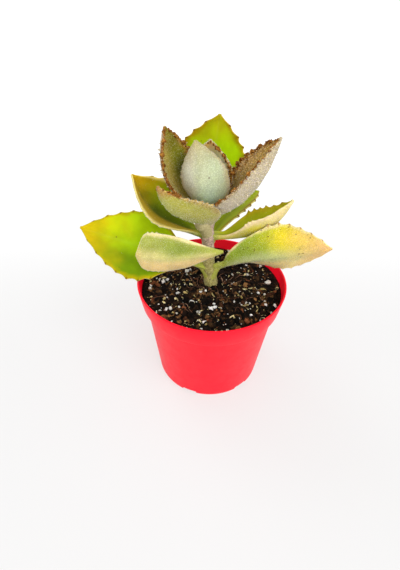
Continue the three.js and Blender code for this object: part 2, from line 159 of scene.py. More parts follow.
SPIKE_RADII = (0.36, 0.07)


@dataclass
class Face:
    """Colours of one face of a leaf, and how much felt covers it. A soft patch of one more colour is placed
    and sized by shares of the blade's width and length; on leaf_front's underside and leaf_top_right's upper
    face it is painted shade."""

    left: str
    right: str
    tip: str
    margin: str
    midrib: str
    felt: float = 0.4
    tip_start: float = 0.55
    margin_width: float = 0.14
    blush: str = "#000000"
    blush_at: tuple = (0.5, 0.5)
    blush_size: float = 0.0


@dataclass
class Leaf:
    """Shape of a leaf. Shares run from 0 at the stem to 1 at the tip, and pairs are for the blade's
    left and right half, seen from the stem along the compass heading "across"."""

    path: tuple
    across: float
    width: float
    upper: Face
    under: Face
    teeth: int
    tooth: str = "#6b3d17"  # colour of the teeth
    dots: float = 0.1  # how many brown dots it has
    stalk_colour: str = "#a9ae4c"
    fringe: float = 0.0  # share of the margin's felt that is rust-brown
    fringe_faces: tuple = (-1, 0.9)  # faces between which the tufts of the fringe stand
    fringe_start: float = 0.1
    tooth_sides: tuple = (1, 1)  # how much the teeth of each half show
    sheath: float = 3.5  # how far below its node the sheath starts, 0 for none
    sheath_end: tuple = (0.13, 1.5)  # share of the leaf, and radius there
    halves: tuple = (1, 1)  # width of each half, over half of the leaf's width
    stalk: float = 0.18  # share of the length
    stalk_width: float = 6
    thick: float = STALK_THICKNESS
    widest: float = 0.58  # share of the length at which the blade is widest
    shoulder: tuple = (1.2, 1.2)  # powers of the outline, from the stalk to the widest place
    point: tuple = (1.4, 1.4)  # and from there to the tip
    roll: tuple = (0, 0)  # turn about its own length, at the stem and at the tip
    fold: float = 10  # how far each half is raised at the midrib
    cup: float = 10  # and how much further at the margin
    toothed: float = 0.45  # share of the length at which the teeth start
    tooth_depth: float = 1.5
    tubercles: int = 0  # in each of two rows
    petiole: tuple = ()  # path of a stalk that turns behind the blade

    @property
    def felt(self):
        """How much felt covers the leaf on average."""
        return (self.upper.felt + self.under.felt) / 2

    @property
    def slot(self):
        return "felt_leaf" if self.under.felt > MOSTLY_FELT else "lime_leaf"


LEAVES = {
    "leaf_low_left": Leaf(
        path=(FIRST, (-22, 5, 83), (-50, 6, 90), (-76.6, 7.6, 99.5)), across=180, width=40,
        roll=(0, -55), fold=8, point=(1.7, 1.7), teeth=7, toothed=0.4, tooth_depth=1.1,
        tooth="#7a5410", dots=0.2, sheath=7,
        upper=Face("#789800", "#bad600", "#cdae00", "#b4a600", "#a6c800", felt=0.03, tip_start=0.6,
                   margin_width=0.08, blush="#6a9000", blush_at=(0.72, 0.3), blush_size=0.3),
        under=Face("#b9c45c", "#b9c45c", "#dcc55c", "#d8c46c", "#a9b84c", felt=0.5),
    ),
    "leaf_low_right": Leaf(
        path=(FIRST, (19, 0, 87), (41.5, -3, 89.5), (66, -3, 96.2)), across=0, width=41,
        roll=(-45, -75), fold=12, stalk=0.17, widest=0.6, shoulder=(1.0, 0.5), point=(2.1, 1.8),
        teeth=6, toothed=0.5, tooth_depth=1.2, tooth="#a5713a", dots=1, sheath=7,
        upper=Face("#a8b820", "#a8b820", "#d9b830", "#cfae4a", "#93a81a", felt=0.2),
        under=Face("#fcee9c", "#98b034", "#ecc27a", "#eedc98", "#c4d088", felt=0.6, tip_start=0.5,
                   margin_width=0.06, blush="#fae400", blush_at=(0.18, 0.75), blush_size=0.42),
    ),
    "leaf_front": Leaf(
        path=((5, -11, 97.6), (-8, -15, 97.5), (-25.5, -17.5, 95), (-41.5, -15, 97)),
        across=188, width=28, roll=(90, 90), fold=17, cup=12, stalk=0, stalk_width=1.6, thick=1.2,
        halves=(0.9, 1), widest=0.78, shoulder=(1.3, 1.3), point=(6, 6), teeth=4, toothed=0.74,
        tooth_depth=1, tooth_sides=(0.3, 0.3), tooth="#e6d8b0", dots=0.15, sheath=0,
        petiole=((-2.6, 3.2, 88), (-2.2, -1, 90), (-1.5, -6, 93), (-3, -12, 97)),
        upper=Face("#b4bd55", "#b4bd55", "#cfc578", "#ddd396", "#98ad45", felt=0.5),
        # The underside's darker patch beside the midrib is painted shade.
        under=Face("#a8ae50", "#f6da92", "#d8c47c", "#f0e0a8", "#d6cc84", felt=0.45, tip_start=0.9,
                   margin_width=0.12, blush="#8c9c3c", blush_at=(0.68, 0.5), blush_size=0.34),
    ),
    "leaf_back_right": Leaf(
        path=(SECOND, (2, 13, 101.5), (14, 24, 107), (27, 32, 113)), across=45, width=24,
        halves=(1, 0.8), roll=(-10, -8), fold=15, widest=0.65, point=(2.4, 2.4), teeth=5,
        upper=Face("#808c00", "#8a9600", "#96a200", "#8c7820", "#727f00", felt=0.06),
        under=Face("#b5c35a", "#b5c35a", "#c9c76a", "#d0c674", "#a9bd4c", felt=0.5),
    ),
    "leaf_mid_left": Leaf(
        path=(THIRD, (-17, 6, 101), (-38, 8, 104), (-45, 13, 129.5)), across=168, width=36,
        halves=(1, 1.2), roll=(0, -12), fold=26, widest=0.62, point=(1.8, 2.8), teeth=6,
        toothed=0.5, tooth_depth=1.9, tooth_sides=(0.15, 1),
        # The upper face's dark midrib colour is painted shade in the valley along the midrib.
        upper=Face("#c4a41c", "#8ea600", "#be9800", "#f2dc80", "#5c6c06", felt=0.2, tip_start=0.64,
                   margin_width=0.12),
        under=Face("#dcd890", "#dcd890", "#e0cf84", "#e2d492", "#c0c876", felt=0.6),
    ),
    "leaf_mid_right": Leaf(
        path=(THIRD, (12, 6.5, 96), (33, 3.5, 94.5), (39.7, -0.5, 123.5)), across=-12, width=30,
        roll=(0, -10), fold=36, cup=15, point=(2, 2), teeth=6, tooth_sides=(1, 0.1),
        upper=Face("#a4a814", "#8c9604", "#bcb400", "#b09c14", "#74841c", felt=0.04),
        under=Face("#d4cc64", "#dcd066", "#f0dca0", "#f2dca8", "#c2be58", felt=0.45, tip_start=0.6,
                   blush="#d8cc38", blush_at=(0.3, 0.62), blush_size=0.3),
    ),
    "leaf_front_left": Leaf(
        path=(FOURTH, (-13, -6, 113), (-27, -17, 121), (-27, -20, 138)), across=225, width=37,
        halves=(1, 0.45), fold=30, cup=20, stalk=0, stalk_width=9, widest=0.4, shoulder=(0.6, 0.6),
        point=(2, 2), teeth=7, toothed=0.4, tooth_depth=1, tooth="#b58a44", fringe=0.7, fringe_start=0.74,
        sheath=9, sheath_end=(0.13, 4.1), stalk_colour="#c0b486",
        upper=Face("#b8ae58", "#b8ae58", "#c8a464", "#b88a44", "#979e40", felt=0.45),
        under=Face("#b8b450", "#b0ac4a", "#b08044", "#c8ac64", "#acae58", felt=0.6, tip_start=0.78,
                   margin_width=0.12),
    ),
    "leaf_back": Leaf(
        path=(FOURTH, (-4, 19, 114), (-1, 29, 132.5), (1, 27, 157)), across=80, width=32,
        halves=(1.12, 1.03), fold=5, cup=20, stalk=0.12, widest=0.74, shoulder=(1.3, 1.3),
        point=(1.5, 1.5), teeth=7, toothed=0.5, tooth_depth=1.7,
        upper=Face("#a4c000", "#b8dc00", "#a89800", "#a88c00", "#b4d800", felt=0.04, tip_start=0.74,
                   margin_width=0.14),
        under=Face("#b5c35a", "#b5c35a", "#c9c76a", "#c9b35a", "#a9bd4c", felt=0.5),
    ),
    "leaf_top_left": Leaf(
        path=(FIFTH, (-19, 8.5, 118), (-33, 11, 131), (-25.8, 8, 155.7)), across=165, width=30,
        halves=(1, 1.15), roll=(0, -8), fold=20, cup=20, stalk=0.12, widest=0.5, point=(2.6, 4),
        teeth=8, toothed=0.35, tooth_depth=1.4, tubercles=4, tooth="#7a4a18", fringe=0.9,
        stalk_colour="#cbb698",
        upper=Face("#c8ae50", "#8c8c1c", "#948428", "#c0842c", "#c4ae54", felt=0.7, tip_start=0.75,
                   margin_width=0.16, blush="#46460f", blush_at=(0.16, 0.5), blush_size=0.34),
        under=Face("#dfd8bc", "#dfd8bc", "#ccb48c", "#a8702c", "#d4d0ac", felt=0.8, margin_width=0.1),
    ),
    "leaf_top_right": Leaf(
        path=(FIFTH, (10, 4, 111), (23.2, -8, 131.5), (26, -12, 158)), across=-30, width=33,
        halves=(1, 1.13), roll=(15, 24), fold=33, cup=20, stalk=0.14, widest=0.52, shoulder=(1.5, 1.5),
        point=(2.6, 1.8), teeth=9, toothed=0.35, tubercles=5, tooth="#7e5220", fringe=0.9,
        fringe_faces=(0.1, 1), stalk_colour="#cbb698",
        # The upper face's near-black patch at the base, beside the bud, is painted shade.
        upper=Face("#c8a860", "#f0cc88", "#d8b060", "#e8c080", "#ccae5c", felt=0.85, tip_start=0.6,
                   margin_width=0.2, blush="#2c2404", blush_at=(0.82, 0.16), blush_size=0.42),
        under=Face("#ded2b8", "#dacdb2", "#d2c2a2", "#d8c49c", "#d4c8ac", felt=0.8,
                   margin_width=0.05),
    ),
    "bud_leaf_front": Leaf(
        path=((-5, 3, 117.5), (-5, -9, 120), (-8, -8, 140), (-11, 3, 151)), across=262, width=29,
        halves=(1, 0.93), fold=8, cup=45, stalk=0, stalk_width=14, widest=0.5, shoulder=(0.8, 0.8),
        point=(2.5, 2.5), teeth=5, toothed=0.6, tooth_depth=0.5, tooth="#b59a6a", dots=0.3, sheath=0,
        stalk_colour="#c6d2ae",
        upper=Face("#c4c68e", "#c4c68e", "#b39054", "#a06c2e", "#b6bd84", felt=0.6),
        under=Face("#c6d2ae", "#dedec6", "#c0b080", "#cabf96", "#cad0ac", felt=0.6, tip_start=0.66,
                   blush="#c2e0c0", blush_at=(0.6, 0.2), blush_size=0.46),
    ),
    "bud_leaf_back": Leaf(
        path=((-5, 7, 118.5), (-4, 15, 121), (-3, 14, 141), (-3.8, 7, 150)), across=82, width=27,
        halves=(1, 1.12), fold=8, cup=45, stalk=0, stalk_width=12, widest=0.5, shoulder=(0.8, 0.8),
        point=(2.6, 2.6), teeth=5, toothed=0.6, tooth_depth=0.7, tooth="#a8783a", fringe=0.6, sheath=0,
        fringe_faces=(0.3, 1), stalk_colour="#c6d2ae",
        # The upper face's colours are pushed near white: its own pale colour with painted light, where it
        # lies in the front bud leaf's shade.
        upper=Face("#fffcd0", "#fffcd0", "#ffcc70", "#fcc468", "#fff8c0", felt=0.25, tip_start=0.75,
                   margin_width=0.2),
        under=Face("#ccd4ae", "#ccd4ae", "#d4c496", "#d6cfa4", "#ccd4a4", felt=0.8),
    ),
}


# ---- Settings that a user would change ----

class PotSettings(bpy.types.PropertyGroup):
    colour: FloatVectorProperty(
        name="Plastic", description="Colour of the moulded plastic", subtype="COLOR",
        default=(0.95, 0.002, 0.02), min=0, max=1)
    edge: FloatProperty(
        name="Edge", description="Rounding of the rim, the collar and the foot", unit="LENGTH",
        default=0.5 * MM, min=0.1 * MM, max=0.55 * MM, precision=5)


class MixSettings(bpy.types.PropertyGroup):
    crumbs: IntProperty(name="Crumbs", description="Dark crumbs on the surface", default=2300, min=0)
    perlite: IntProperty(name="Perlite", description="White grains", default=170, min=0)
    hulls: IntProperty(name="Hulls", description="Pale curled flakes", default=240, min=0)
    bark: IntProperty(name="Bark", description="Brown chips", default=170, min=0)
    fibres: IntProperty(name="Fibres", description="Thin pale fibres", default=46, min=0)
    relief: FloatProperty(
        name="Relief", description="Height of the surface's lumps", unit="LENGTH",
        default=0.9 * MM, min=0, max=2 * MM, precision=5)
    seed: IntProperty(name="Seed", description="Draw of the grains' places", default=7)


class PlantSettings(bpy.types.PropertyGroup):
    hair_length: FloatProperty(
        name="Hair", description="Length of the longest felt hairs", unit="LENGTH",
        default=0.7 * MM, min=0.1 * MM, max=2 * MM, precision=5)
    hair_count: IntProperty(
        name="Hairs", description="Hairs on a fully felted leaf", default=9000, min=0)
    felt: FloatVectorProperty(
        name="Felt", description="Colour of the felt hairs", subtype="COLOR",
        default=(0.80, 0.79, 0.68), min=0, max=1)


class StageSettings(bpy.types.PropertyGroup):
    sky: FloatProperty(name="Sky", description="Brightness of the light all round", default=0.75, min=0)
    key: FloatProperty(name="Key", description="Power of the soft lamp overhead", default=5.0, min=0)
    floor: FloatVectorProperty(
        name="Floor", description="Colour of the floor", subtype="COLOR",
        default=(0.24, 0.245, 0.25), min=0, max=1)


# ---- Pieces ----

def mesh_of(name, bm):
    """A mesh with a shape that is done."""
    mesh = bpy.data.meshes.new(name)
    bm.to_mesh(mesh)
    bm.free()
    return mesh


def shown(name, bm, materials):
    """A smooth object in the scene."""
    mesh = mesh_of(name, bm)
    mesh.shade_smooth()
    for material in materials:
        mesh.materials.append(material)
    made = bpy.data.objects.new(name, mesh)
    bpy.context.scene.collection.objects.link(made)
    return made


def piece(name, bm, materials, slot, replaces=(), levels=0):
    """Finishes a shape made in millimetres as a piece that stands in the frame."""
    bmesh.ops.scale(bm, vec=(MM, MM, MM), verts=bm.verts)
    made = shown(name, bm, materials)
    if levels:
        smooth = made.modifiers.new("Smooth", "SUBSURF")
        smooth.levels = smooth.render_levels = levels
    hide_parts(*replaces)
    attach(made, "root")
    return made


def copies(templates, places):
    """One mesh of many copies: places holds pairs of a template's number and a matrix."""
    meshes = [mesh_of("template", template) for template in templates]
    bm = bmesh.new()
    for number, matrix in places:
        meshes[number].transform(matrix)
        bm.from_mesh(meshes[number])
        meshes[number].transform(matrix.inverted())
    for mesh in meshes:
        bpy.data.meshes.remove(mesh)
    return bm


def edges_along(bm, axis, least):
    """The edges that go further than "least" along an axis, 0 for X and 2 for Z."""
    return [e for e in bm.edges if abs(e.verts[0].co[axis] - e.verts[1].co[axis]) > least]


def spun(profile, steps, rounding=0.0, rounded=()):
    """A profile of (radius, height) turned round Z, with the numbered corners rounded."""
    bm = bmesh.new()
    corners = [bm.verts.new((radius, 0, z)) for radius, z in profile]
    for start, end in zip(corners, corners[1:]):
        bm.edges.new((start, end))
    if rounded:
        bmesh.ops.bevel(bm, geom=[corners[i] for i in rounded], offset=rounding, affect="VERTICES",
                        segments=3, profile=0.5, material=-1)
    bmesh.ops.spin(bm, geom=bm.verts[:] + bm.edges[:], axis=(0, 0, 1), cent=(0, 0, 0),
                   angle=2 * math.pi, steps=steps, use_merge=True)
    bmesh.ops.remove_doubles(bm, verts=bm.verts, dist=1e-4)
    bmesh.ops.recalc_face_normals(bm, faces=bm.faces)
    return bm


def swept(points, radii, sides):
    """A closed tube along points in millimetres, with a radius at each."""
    bm = bmesh.new()
    bmesh.ops.create_cone(bm, segments=sides, radius1=1, radius2=1, depth=1, cap_ends=True)
    bmesh.ops.subdivide_edges(bm, edges=edges_along(bm, 2, 0.5), cuts=len(points) - 2,
                              use_grid_fill=True)
    points = [Vector(p) for p in points]
    side = (points[1] - points[0]).orthogonal()
    turns = []
    for i in range(len(points)):
        along = (points[min(i + 1, len(points) - 1)] - points[max(i - 1, 0)]).normalized()
        side = (side - along * side.dot(along)).normalized()
        turns.append(Matrix((side, along.cross(side), along)).transposed())
    for v in bm.verts:
        i = round((v.co.z + 0.5) * (len(points) - 1))
        v.co = points[i] + turns[i] @ Vector((v.co.x * radii[i], v.co.y * radii[i], 0))
    bmesh.ops.recalc_face_normals(bm, faces=bm.faces)
    return bm


# ---- Shader nodes ----

BLACK = (0, 0, 0, 1)
WHITE = (1, 1, 1, 1)
# Painted shade that darkens a colour between the felt's tufts, and painted light that brightens it on them.
FELT_GAP_PAINTED_SHADE = (0.3, 0.26, 0.2, 1)
FELT_TUFT_PAINTED_LIGHT = (1.6, 1.6, 1.5, 1)
RUSTED = (0.36, 0.28, 0.16, 1)
VEIN_GREEN = (0.9, 0.95, 0.3, 1)
VEINS = 9.0  # side veins on each side of the midrib
FELT_TUFTS = 1500.0  # waves per metre
FELT_CLUMPS = 620.0


def linear(hex_colour):
    """An #rrggbb colour as Blender's linear RGBA."""
    parts = [int(hex_colour[i:i + 2], 16) / 255 for i in (1, 3, 5)]
    return (*(c / 12.92 if c <= 0.04045 else ((c + 0.055) / 1.055) ** 2.4 for c in parts), 1)


def join(tree, value, socket):
    """Links another node's output to a socket, or sets the socket to a plain value."""
    if isinstance(value, bpy.types.NodeSocket):
        tree.links.new(value, socket)
    else:
        socket.default_value = value


def add(tree, kind, inputs=(), **settings):
    """A node with its settings made and its inputs joined or set."""
    made = tree.nodes.new(kind)
    for key, value in settings.items():
        setattr(made, key, value)
    for key, value in dict(inputs).items():
        join(tree, value, made.inputs[key])
    return made


def mixed(tree, factor, a, b, blend="MIX"):
    """Colour a changed to b by a factor."""
    node = add(tree, "ShaderNodeMix", {0: factor, 6: a, 7: b}, data_type="RGBA", blend_type=blend)
    return node.outputs[2]


def tinted(tree, colour, tint):
    return mixed(tree, 1.0, colour, tint, "MULTIPLY")


def calculated(tree, operation, a, b=0.0):
    return add(tree, "ShaderNodeMath", {0: a, 1: b}, operation=operation).outputs[0]


def times(tree, a, b):
    return calculated(tree, "MULTIPLY", a, b)


def plus(tree, a, b, share=1.0):
    """a and a share of b."""
    return calculated(tree, "ADD", a, b if share == 1.0 else times(tree, b, share))


def minus(tree, a, b):
    return calculated(tree, "SUBTRACT", a, b)


def distance(tree, a, b):
    return calculated(tree, "ABSOLUTE", minus(tree, a, b))


def steps(tree, value, low, high, to_low=0.0, to_high=1.0):
    """A value smoothly brought from between low and high to between two others."""
    node = add(tree, "ShaderNodeMapRange", {"Value": value, "From Min": low, "From Max": high,
                                            "To Min": to_low, "To Max": to_high},
               interpolation_type="SMOOTHSTEP")
    return node.outputs["Result"]


def position(tree):
    """A point's place in the frame, in metres."""
    return add(tree, "ShaderNodeTexCoord").outputs["Object"]


def apart(tree, vector):
    """The X, Y and Z of a vector."""
    return add(tree, "ShaderNodeSeparateXYZ", {"Vector": vector}).outputs


def grain(tree, scale, detail=2.0, roughness=0.5):
    """Noise over the piece, with its scale in waves per metre."""
    settings = {"Vector": position(tree), "Scale": scale, "Detail": detail, "Roughness": roughness}
    return add(tree, "ShaderNodeTexNoise", settings).outputs["Fac"]


def cells(tree, scale):
    """(distance from the middle of a cell, a random number for each cell)"""
    made = add(tree, "ShaderNodeTexVoronoi", {"Vector": position(tree), "Scale": scale}).outputs
    drawn = add(tree, "ShaderNodeSeparateColor", {"Color": made["Color"]}).outputs[0]
    return made["Distance"], drawn


def new_group(name, colours, numbers, outputs):
    """An empty shader group with white colour inputs and number inputs, as (its tree, its inputs by
    name, its outputs by name)."""
    tree = bpy.data.node_groups.new(name, "ShaderNodeTree")
    wanted = [(label, "NodeSocketColor", WHITE) for label in colours]
    wanted += [(label, "NodeSocketFloat", value) for label, value in numbers.items()]
    for label, kind, value in wanted:
        tree.interface.new_socket(label, in_out="INPUT", socket_type=kind).default_value = value
    for label in outputs:
        kind = "NodeSocketColor" if label == "Color" else "NodeSocketFloat"
        tree.interface.new_socket(label, in_out="OUTPUT", socket_type=kind)
    return tree, tree.nodes.new("NodeGroupInput").outputs, tree.nodes.new("NodeGroupOutput").inputs


def use(tree, build, inputs=()):
    """Places a shared group in a tree. The group is built the first time that it is asked for."""
    name = build.__name__.removeprefix("build_").replace("_", " ").capitalize()
    shared = bpy.data.node_groups.get(name) or build(name)
    return add(tree, "ShaderNodeGroup", inputs, node_tree=shared).outputs


def mottled(tree, colour, scale, amount):
    return use(tree, build_mottle, {"Color": colour, "Scale": scale, "Amount": amount})["Color"]


def dots(tree, scale, share):
    return use(tree, build_dots, {"Scale": scale, "Share": share})["Mask"]


# Colour from the felt group, with painted light on its tufts and painted shade between them.
def felted(tree, colour, felt, amount):
    return use(tree, build_felt, {"Color": colour, "Felt": (*felt, 1), "Amount": amount})["Color"]


def felt_height(tree, amount):
    return use(tree, build_felt, {"Amount": amount})["Height"]


def build_mottle(name):
    """Slow light and dark variation of a colour."""
    tree, given, out = new_group(name, ["Color"], {"Scale": 60.0, "Amount": 0.2}, ["Color"])
    mask = steps(tree, grain(tree, given["Scale"], 3.0), 0.3, 0.7)
    darker = mixed(tree, given["Amount"], given["Color"], BLACK)
    tree.links.new(mixed(tree, mask, darker, given["Color"]), out["Color"])
    return tree


def build_felt(name):
    """Felt over a colour: pale tufts with painted light, painted shade between them, and the height of both.
    """
    tree, given, out = new_group(name, ["Color", "Felt"], {"Amount": 0.5}, ["Color", "Height"])
    tufts = steps(tree, cells(tree, FELT_TUFTS)[0], 0.6, 0.1)
    clumps = grain(tree, FELT_CLUMPS, 4.0, 0.65)
    both = plus(tree, times(tree, tufts, 0.5), clumps, 0.5)
    pale = times(tree, given["Amount"], steps(tree, both, 0.45, 0.8, 0.0, 0.4))
    thick = calculated(tree, "POWER", given["Amount"], 2.0)
    # Painted shade between the tufts, deeper where the felt is thick.
    dark = times(tree, thick, steps(tree, both, 0.52, 0.24, 0.0, 0.75))
    shaded = mixed(tree, dark, given["Color"], tinted(tree, given["Color"], FELT_GAP_PAINTED_SHADE))
    # Painted light on the tufts: the colour brightened, mixed half and half with the felt's own pale colour.
    lit = mixed(tree, 0.5, tinted(tree, given["Color"], FELT_TUFT_PAINTED_LIGHT), given["Felt"])
    tree.links.new(mixed(tree, pale, shaded, lit), out["Color"])
    tree.links.new(times(tree, both, given["Amount"]), out["Height"])
    return tree


def build_dots(name):
    """Scattered small dark dots."""
    tree, given, out = new_group(name, [], {"Scale": 400.0, "Share": 0.1}, ["Mask"])
    away, drawn = cells(tree, given["Scale"])
    chosen = calculated(tree, "LESS_THAN", drawn, given["Share"])
    tree.links.new(times(tree, chosen, steps(tree, away, 0.3, 0.12)), out["Mask"])
    return tree


def build_leaf_face(name):
    """Colours of one face of a blade, laid out over its width and its length."""
    colours = ["Left", "Right", "Tip", "Margin", "Midrib", "Blush", "Stalk"]
    numbers = {"Tip Start": 0.5, "Margin Width": 0.1, "Blush Across": 0.5, "Blush Along": 0.5,
               "Blush Size": 0.1, "Rust": 0.0}
    tree, given, out = new_group(name, colours, numbers, ["Color", "Veins"])
    chart = apart(tree, add(tree, "ShaderNodeUVMap", uv_map="blade").outputs["UV"])
    cross, along = chart["X"], chart["Y"]
    drift = minus(tree, grain(tree, 90.0, 3.0), 0.5)
    from_midrib = distance(tree, times(tree, cross, 2.0), 1.0)

    def painted(factor, colour):
        return mixed(tree, factor, body, colour)

    body = mixed(tree, steps(tree, cross, 0.44, 0.56), given["Right"], given["Left"])
    body = painted(steps(tree, plus(tree, from_midrib, drift, 0.5), 0.5, 0.0), given["Midrib"])

    # A soft patch of one more colour, which on two faces is painted shade.
    across_off = distance(tree, cross, given["Blush Across"])
    along_off = distance(tree, along, given["Blush Along"])
    squares = plus(tree, calculated(tree, "POWER", across_off, 2.0),
                   calculated(tree, "POWER", along_off, 2.0))
    away = plus(tree, calculated(tree, "SQRT", squares), drift, 0.25)
    body = painted(steps(tree, away, given["Blush Size"], 0.0), given["Blush"])

    tipward = plus(tree, along, drift, 0.3)
    body = painted(steps(tree, tipward, given["Tip Start"], 1.02), given["Tip"])
    inner = minus(tree, 1.0, times(tree, given["Margin Width"], 2.0))
    outward = steps(tree, plus(tree, from_midrib, drift, 0.35), inner, 1.0)
    spots = times(tree, steps(tree, grain(tree, 800.0, 3.0), 0.46, 0.6), given["Rust"])
    spotted = mixed(tree, spots, given["Margin"], tinted(tree, given["Margin"], RUSTED))
    body = painted(times(tree, outward, steps(tree, along, 0.1, 0.3)), spotted)
    body = painted(steps(tree, tipward, 0.26, 0.04), given["Stalk"])

    # The side veins leave the midrib towards the tip.
    ribs = minus(tree, times(tree, along, VEINS), times(tree, from_midrib, 2.2))
    ribs = calculated(tree, "FRACT", plus(tree, ribs, drift, 0.5))
    side = times(tree, steps(tree, distance(tree, ribs, 0.5), 0.09, 0.0),
                 steps(tree, from_midrib, 0.95, 0.3))
    main = steps(tree, from_midrib, 0.12, 0.0)
    veins = calculated(tree, "MAXIMUM", main, times(tree, side, 0.6))
    tree.links.new(painted(times(tree, veins, 0.02), VEIN_GREEN), out["Color"])
    tree.links.new(veins, out["Veins"])
    return tree


def principled(name, colour, roughness, height=None, bump=0.2, glow=None, **constants):
    """A material from a colour, a roughness and a glow, each a value or a function of the tree, and
    a height. Constants go on the shader's own sockets."""
    material = bpy.data.materials.new(name)
    material.use_nodes = True
    tree = material.node_tree
    tree.nodes.clear()
    shader = add(tree, "ShaderNodeBsdfPrincipled")
    for label, value in constants.items():
        shader.inputs[label.replace("_", " ")].default_value = value
    for label, value in (("Base Color", colour), ("Roughness", roughness), ("Emission Color", glow)):
        if value is not None:
            join(tree, value(tree) if callable(value) else value, shader.inputs[label])
    if height:
        settings = {"Height": height(tree), "Strength": bump, "Distance": 0.3 * MM}
        relief = add(tree, "ShaderNodeBump", settings)
        tree.links.new(relief.outputs["Normal"], shader.inputs["Normal"])
    out = add(tree, "ShaderNodeOutputMaterial")
    tree.links.new(shader.outputs[0], out.inputs[0])
    return material


# ---- Pot ----

CRUMB_ON_PLASTIC = (0.03, 0.015, 0.01, 1)
CRUMBS_TOP = (0.068, 0.0645)  # heights in metres between which the crumbs on the plastic begin
CRUMBS_BOTTOM = (0.060, 0.0635)  # and between which they end below
SHARP_ANGLE = 40  # degrees


def blend(a, b, share):
    return a + (b - a) * share


def collar_inside(z):
    """Inner radius of the collar at a height."""
    return blend(COLLAR_RADIUS, RIM_RADIUS, (z - COLLAR_Z) / (POT_HEIGHT - COLLAR_Z)) - WALL


def body_inside(z):
    """Inner radius of the body below the collar at a height."""
    return blend(FOOT_RADIUS, SHOULDER_RADIUS, z / COLLAR_Z) - WALL


def pot_shell(edge):
    """The pot's wall, collar and floor with rounded edges, and the notches cut out of its foot."""
    profile = [
        (0, 0), (FOOT_RADIUS, 0), (body_inside(ABOVE_NOTCHES) + WALL, ABOVE_NOTCHES),
        (SHOULDER_RADIUS, COLLAR_Z), (COLLAR_RADIUS, COLLAR_Z),
        (RIM_RADIUS, POT_HEIGHT), (RIM_RADIUS - WALL, POT_HEIGHT), (collar_inside(LEDGE_Z), LEDGE_Z),
        (body_inside(LEDGE_Z), LEDGE_Z), (body_inside(FLOOR), FLOOR), (0, FLOOR),
    ]
    sharp = [i for i in range(1, len(profile) - 1) if profile[i][1] != ABOVE_NOTCHES]
    return spun(profile, POT_STEPS, edge, sharp)


def notch_cutters():
    """Blocks that stand across the foot's edge where the drainage notches go."""
    block = bmesh.new()
    bmesh.ops.create_cube(block, size=1)
    bmesh.ops.scale(block, vec=NOTCH_SIZE, verts=block.verts)
    bmesh.ops.bevel(block, geom=edges_along(block, 0, 1), offset=NOTCH_ROUNDING,
                    affect="EDGES", segments=4, profile=0.5, material=-1)
    angles = [math.radians(FIRST_NOTCH + 360 / NOTCHES * i) for i in range(NOTCHES)]
    out = Matrix.Translation((FOOT_RADIUS, 0, 0))
    return copies([block], [(0, Matrix.Rotation(angle, 4, "Z") @ out) for angle in angles])


def plastic(settings):
    """Moulded plastic: a satin skin with fine stipple, and crumbs of mix on the inside of the rim."""
    def dirtied(tree):
        where = position(tree)
        height = apart(tree, where)["Z"]
        band = times(tree, steps(tree, height, *CRUMBS_TOP), steps(tree, height, *CRUMBS_BOTTOM))
        normal = add(tree, "ShaderNodeNewGeometry").outputs["Normal"]
        facing = add(tree, "ShaderNodeVectorMath", {0: normal, 1: where}, operation="DOT_PRODUCT")
        inward = calculated(tree, "LESS_THAN", facing.outputs["Value"], 0.0)
        mask = times(tree, times(tree, dots(tree, 900.0, 0.3), band), inward)
        return mixed(tree, mask, (*settings.colour, 1), CRUMB_ON_PLASTIC)

    def worn(tree):
        return steps(tree, grain(tree, 160.0, 4.0, 0.7), 0.3, 0.75, 0.4, 0.5)

    def stipple(tree):
        return grain(tree, 2600.0, 2.0)

    return principled("pot plastic", dirtied, worn, stipple, bump=0.03, Specular_IOR_Level=0.18,
                      Subsurface_Weight=0.1, Subsurface_Radius=(0.004, 0.0005, 0.0005),
                      Subsurface_Scale=1.0)


class KALANCHOE_OT_pot(bpy.types.Operator):
    """Adds the nursery pot: tapered wall, stepped collar, floor and six drainage notches"""

    bl_idname = "kalanchoe.add_pot"
    bl_label = "Pot"

    def execute(self, context):
        settings = context.scene.kalanchoe_pot
        pot = piece("nursery_pot", pot_shell(settings.edge / MM), [plastic(settings)],
                    "pot_plastic", ["pot"])
        cutter = piece("notch_cutters", notch_cutters(), [], "pot_plastic")
        cut = pot.modifiers.new("Notches", "BOOLEAN")
        cut.object, cut.operation, cut.solver = cutter, "DIFFERENCE", "EXACT"
        whole = context.evaluated_depsgraph_get()
        mesh = bpy.data.meshes.new_from_object(pot.evaluated_get(whole))
        pot.modifiers.remove(cut)
        pot.data = mesh
        mesh.set_sharp_from_angle(angle=math.radians(SHARP_ANGLE))
        bpy.data.objects.remove(cutter)
        return {"FINISHED"}


# ---- Growing mix ----

def soil_level(x, y, relief=0.0):
    """Height of the mix at a place, with its lumps up to "relief" high."""
    share = min(math.hypot(x, y) / collar_inside(SOIL_EDGE_Z), 1)
    z = SOIL_MIDDLE_Z + (SOIL_EDGE_Z - SOIL_MIDDLE_Z) * share ** 2
    for turn_x, turn_y, height in SOIL_WAVES:
        z += height * math.sin(turn_x * x + turn_y * y) * (1 - share ** 4)
    lumps = noise.fractal(Vector((x, y, 0)) * LUMP_WAVES, 0.7, 2.1, 4) - 0.25
    near_stem = math.exp(-(math.hypot(x - SOIL_NODE[0], y - SOIL_NODE[1]) / STEM_MOUND) ** 2)
    return z + relief * (lumps * (1 - 0.5 * share ** 6) + 0.7 * near_stem)


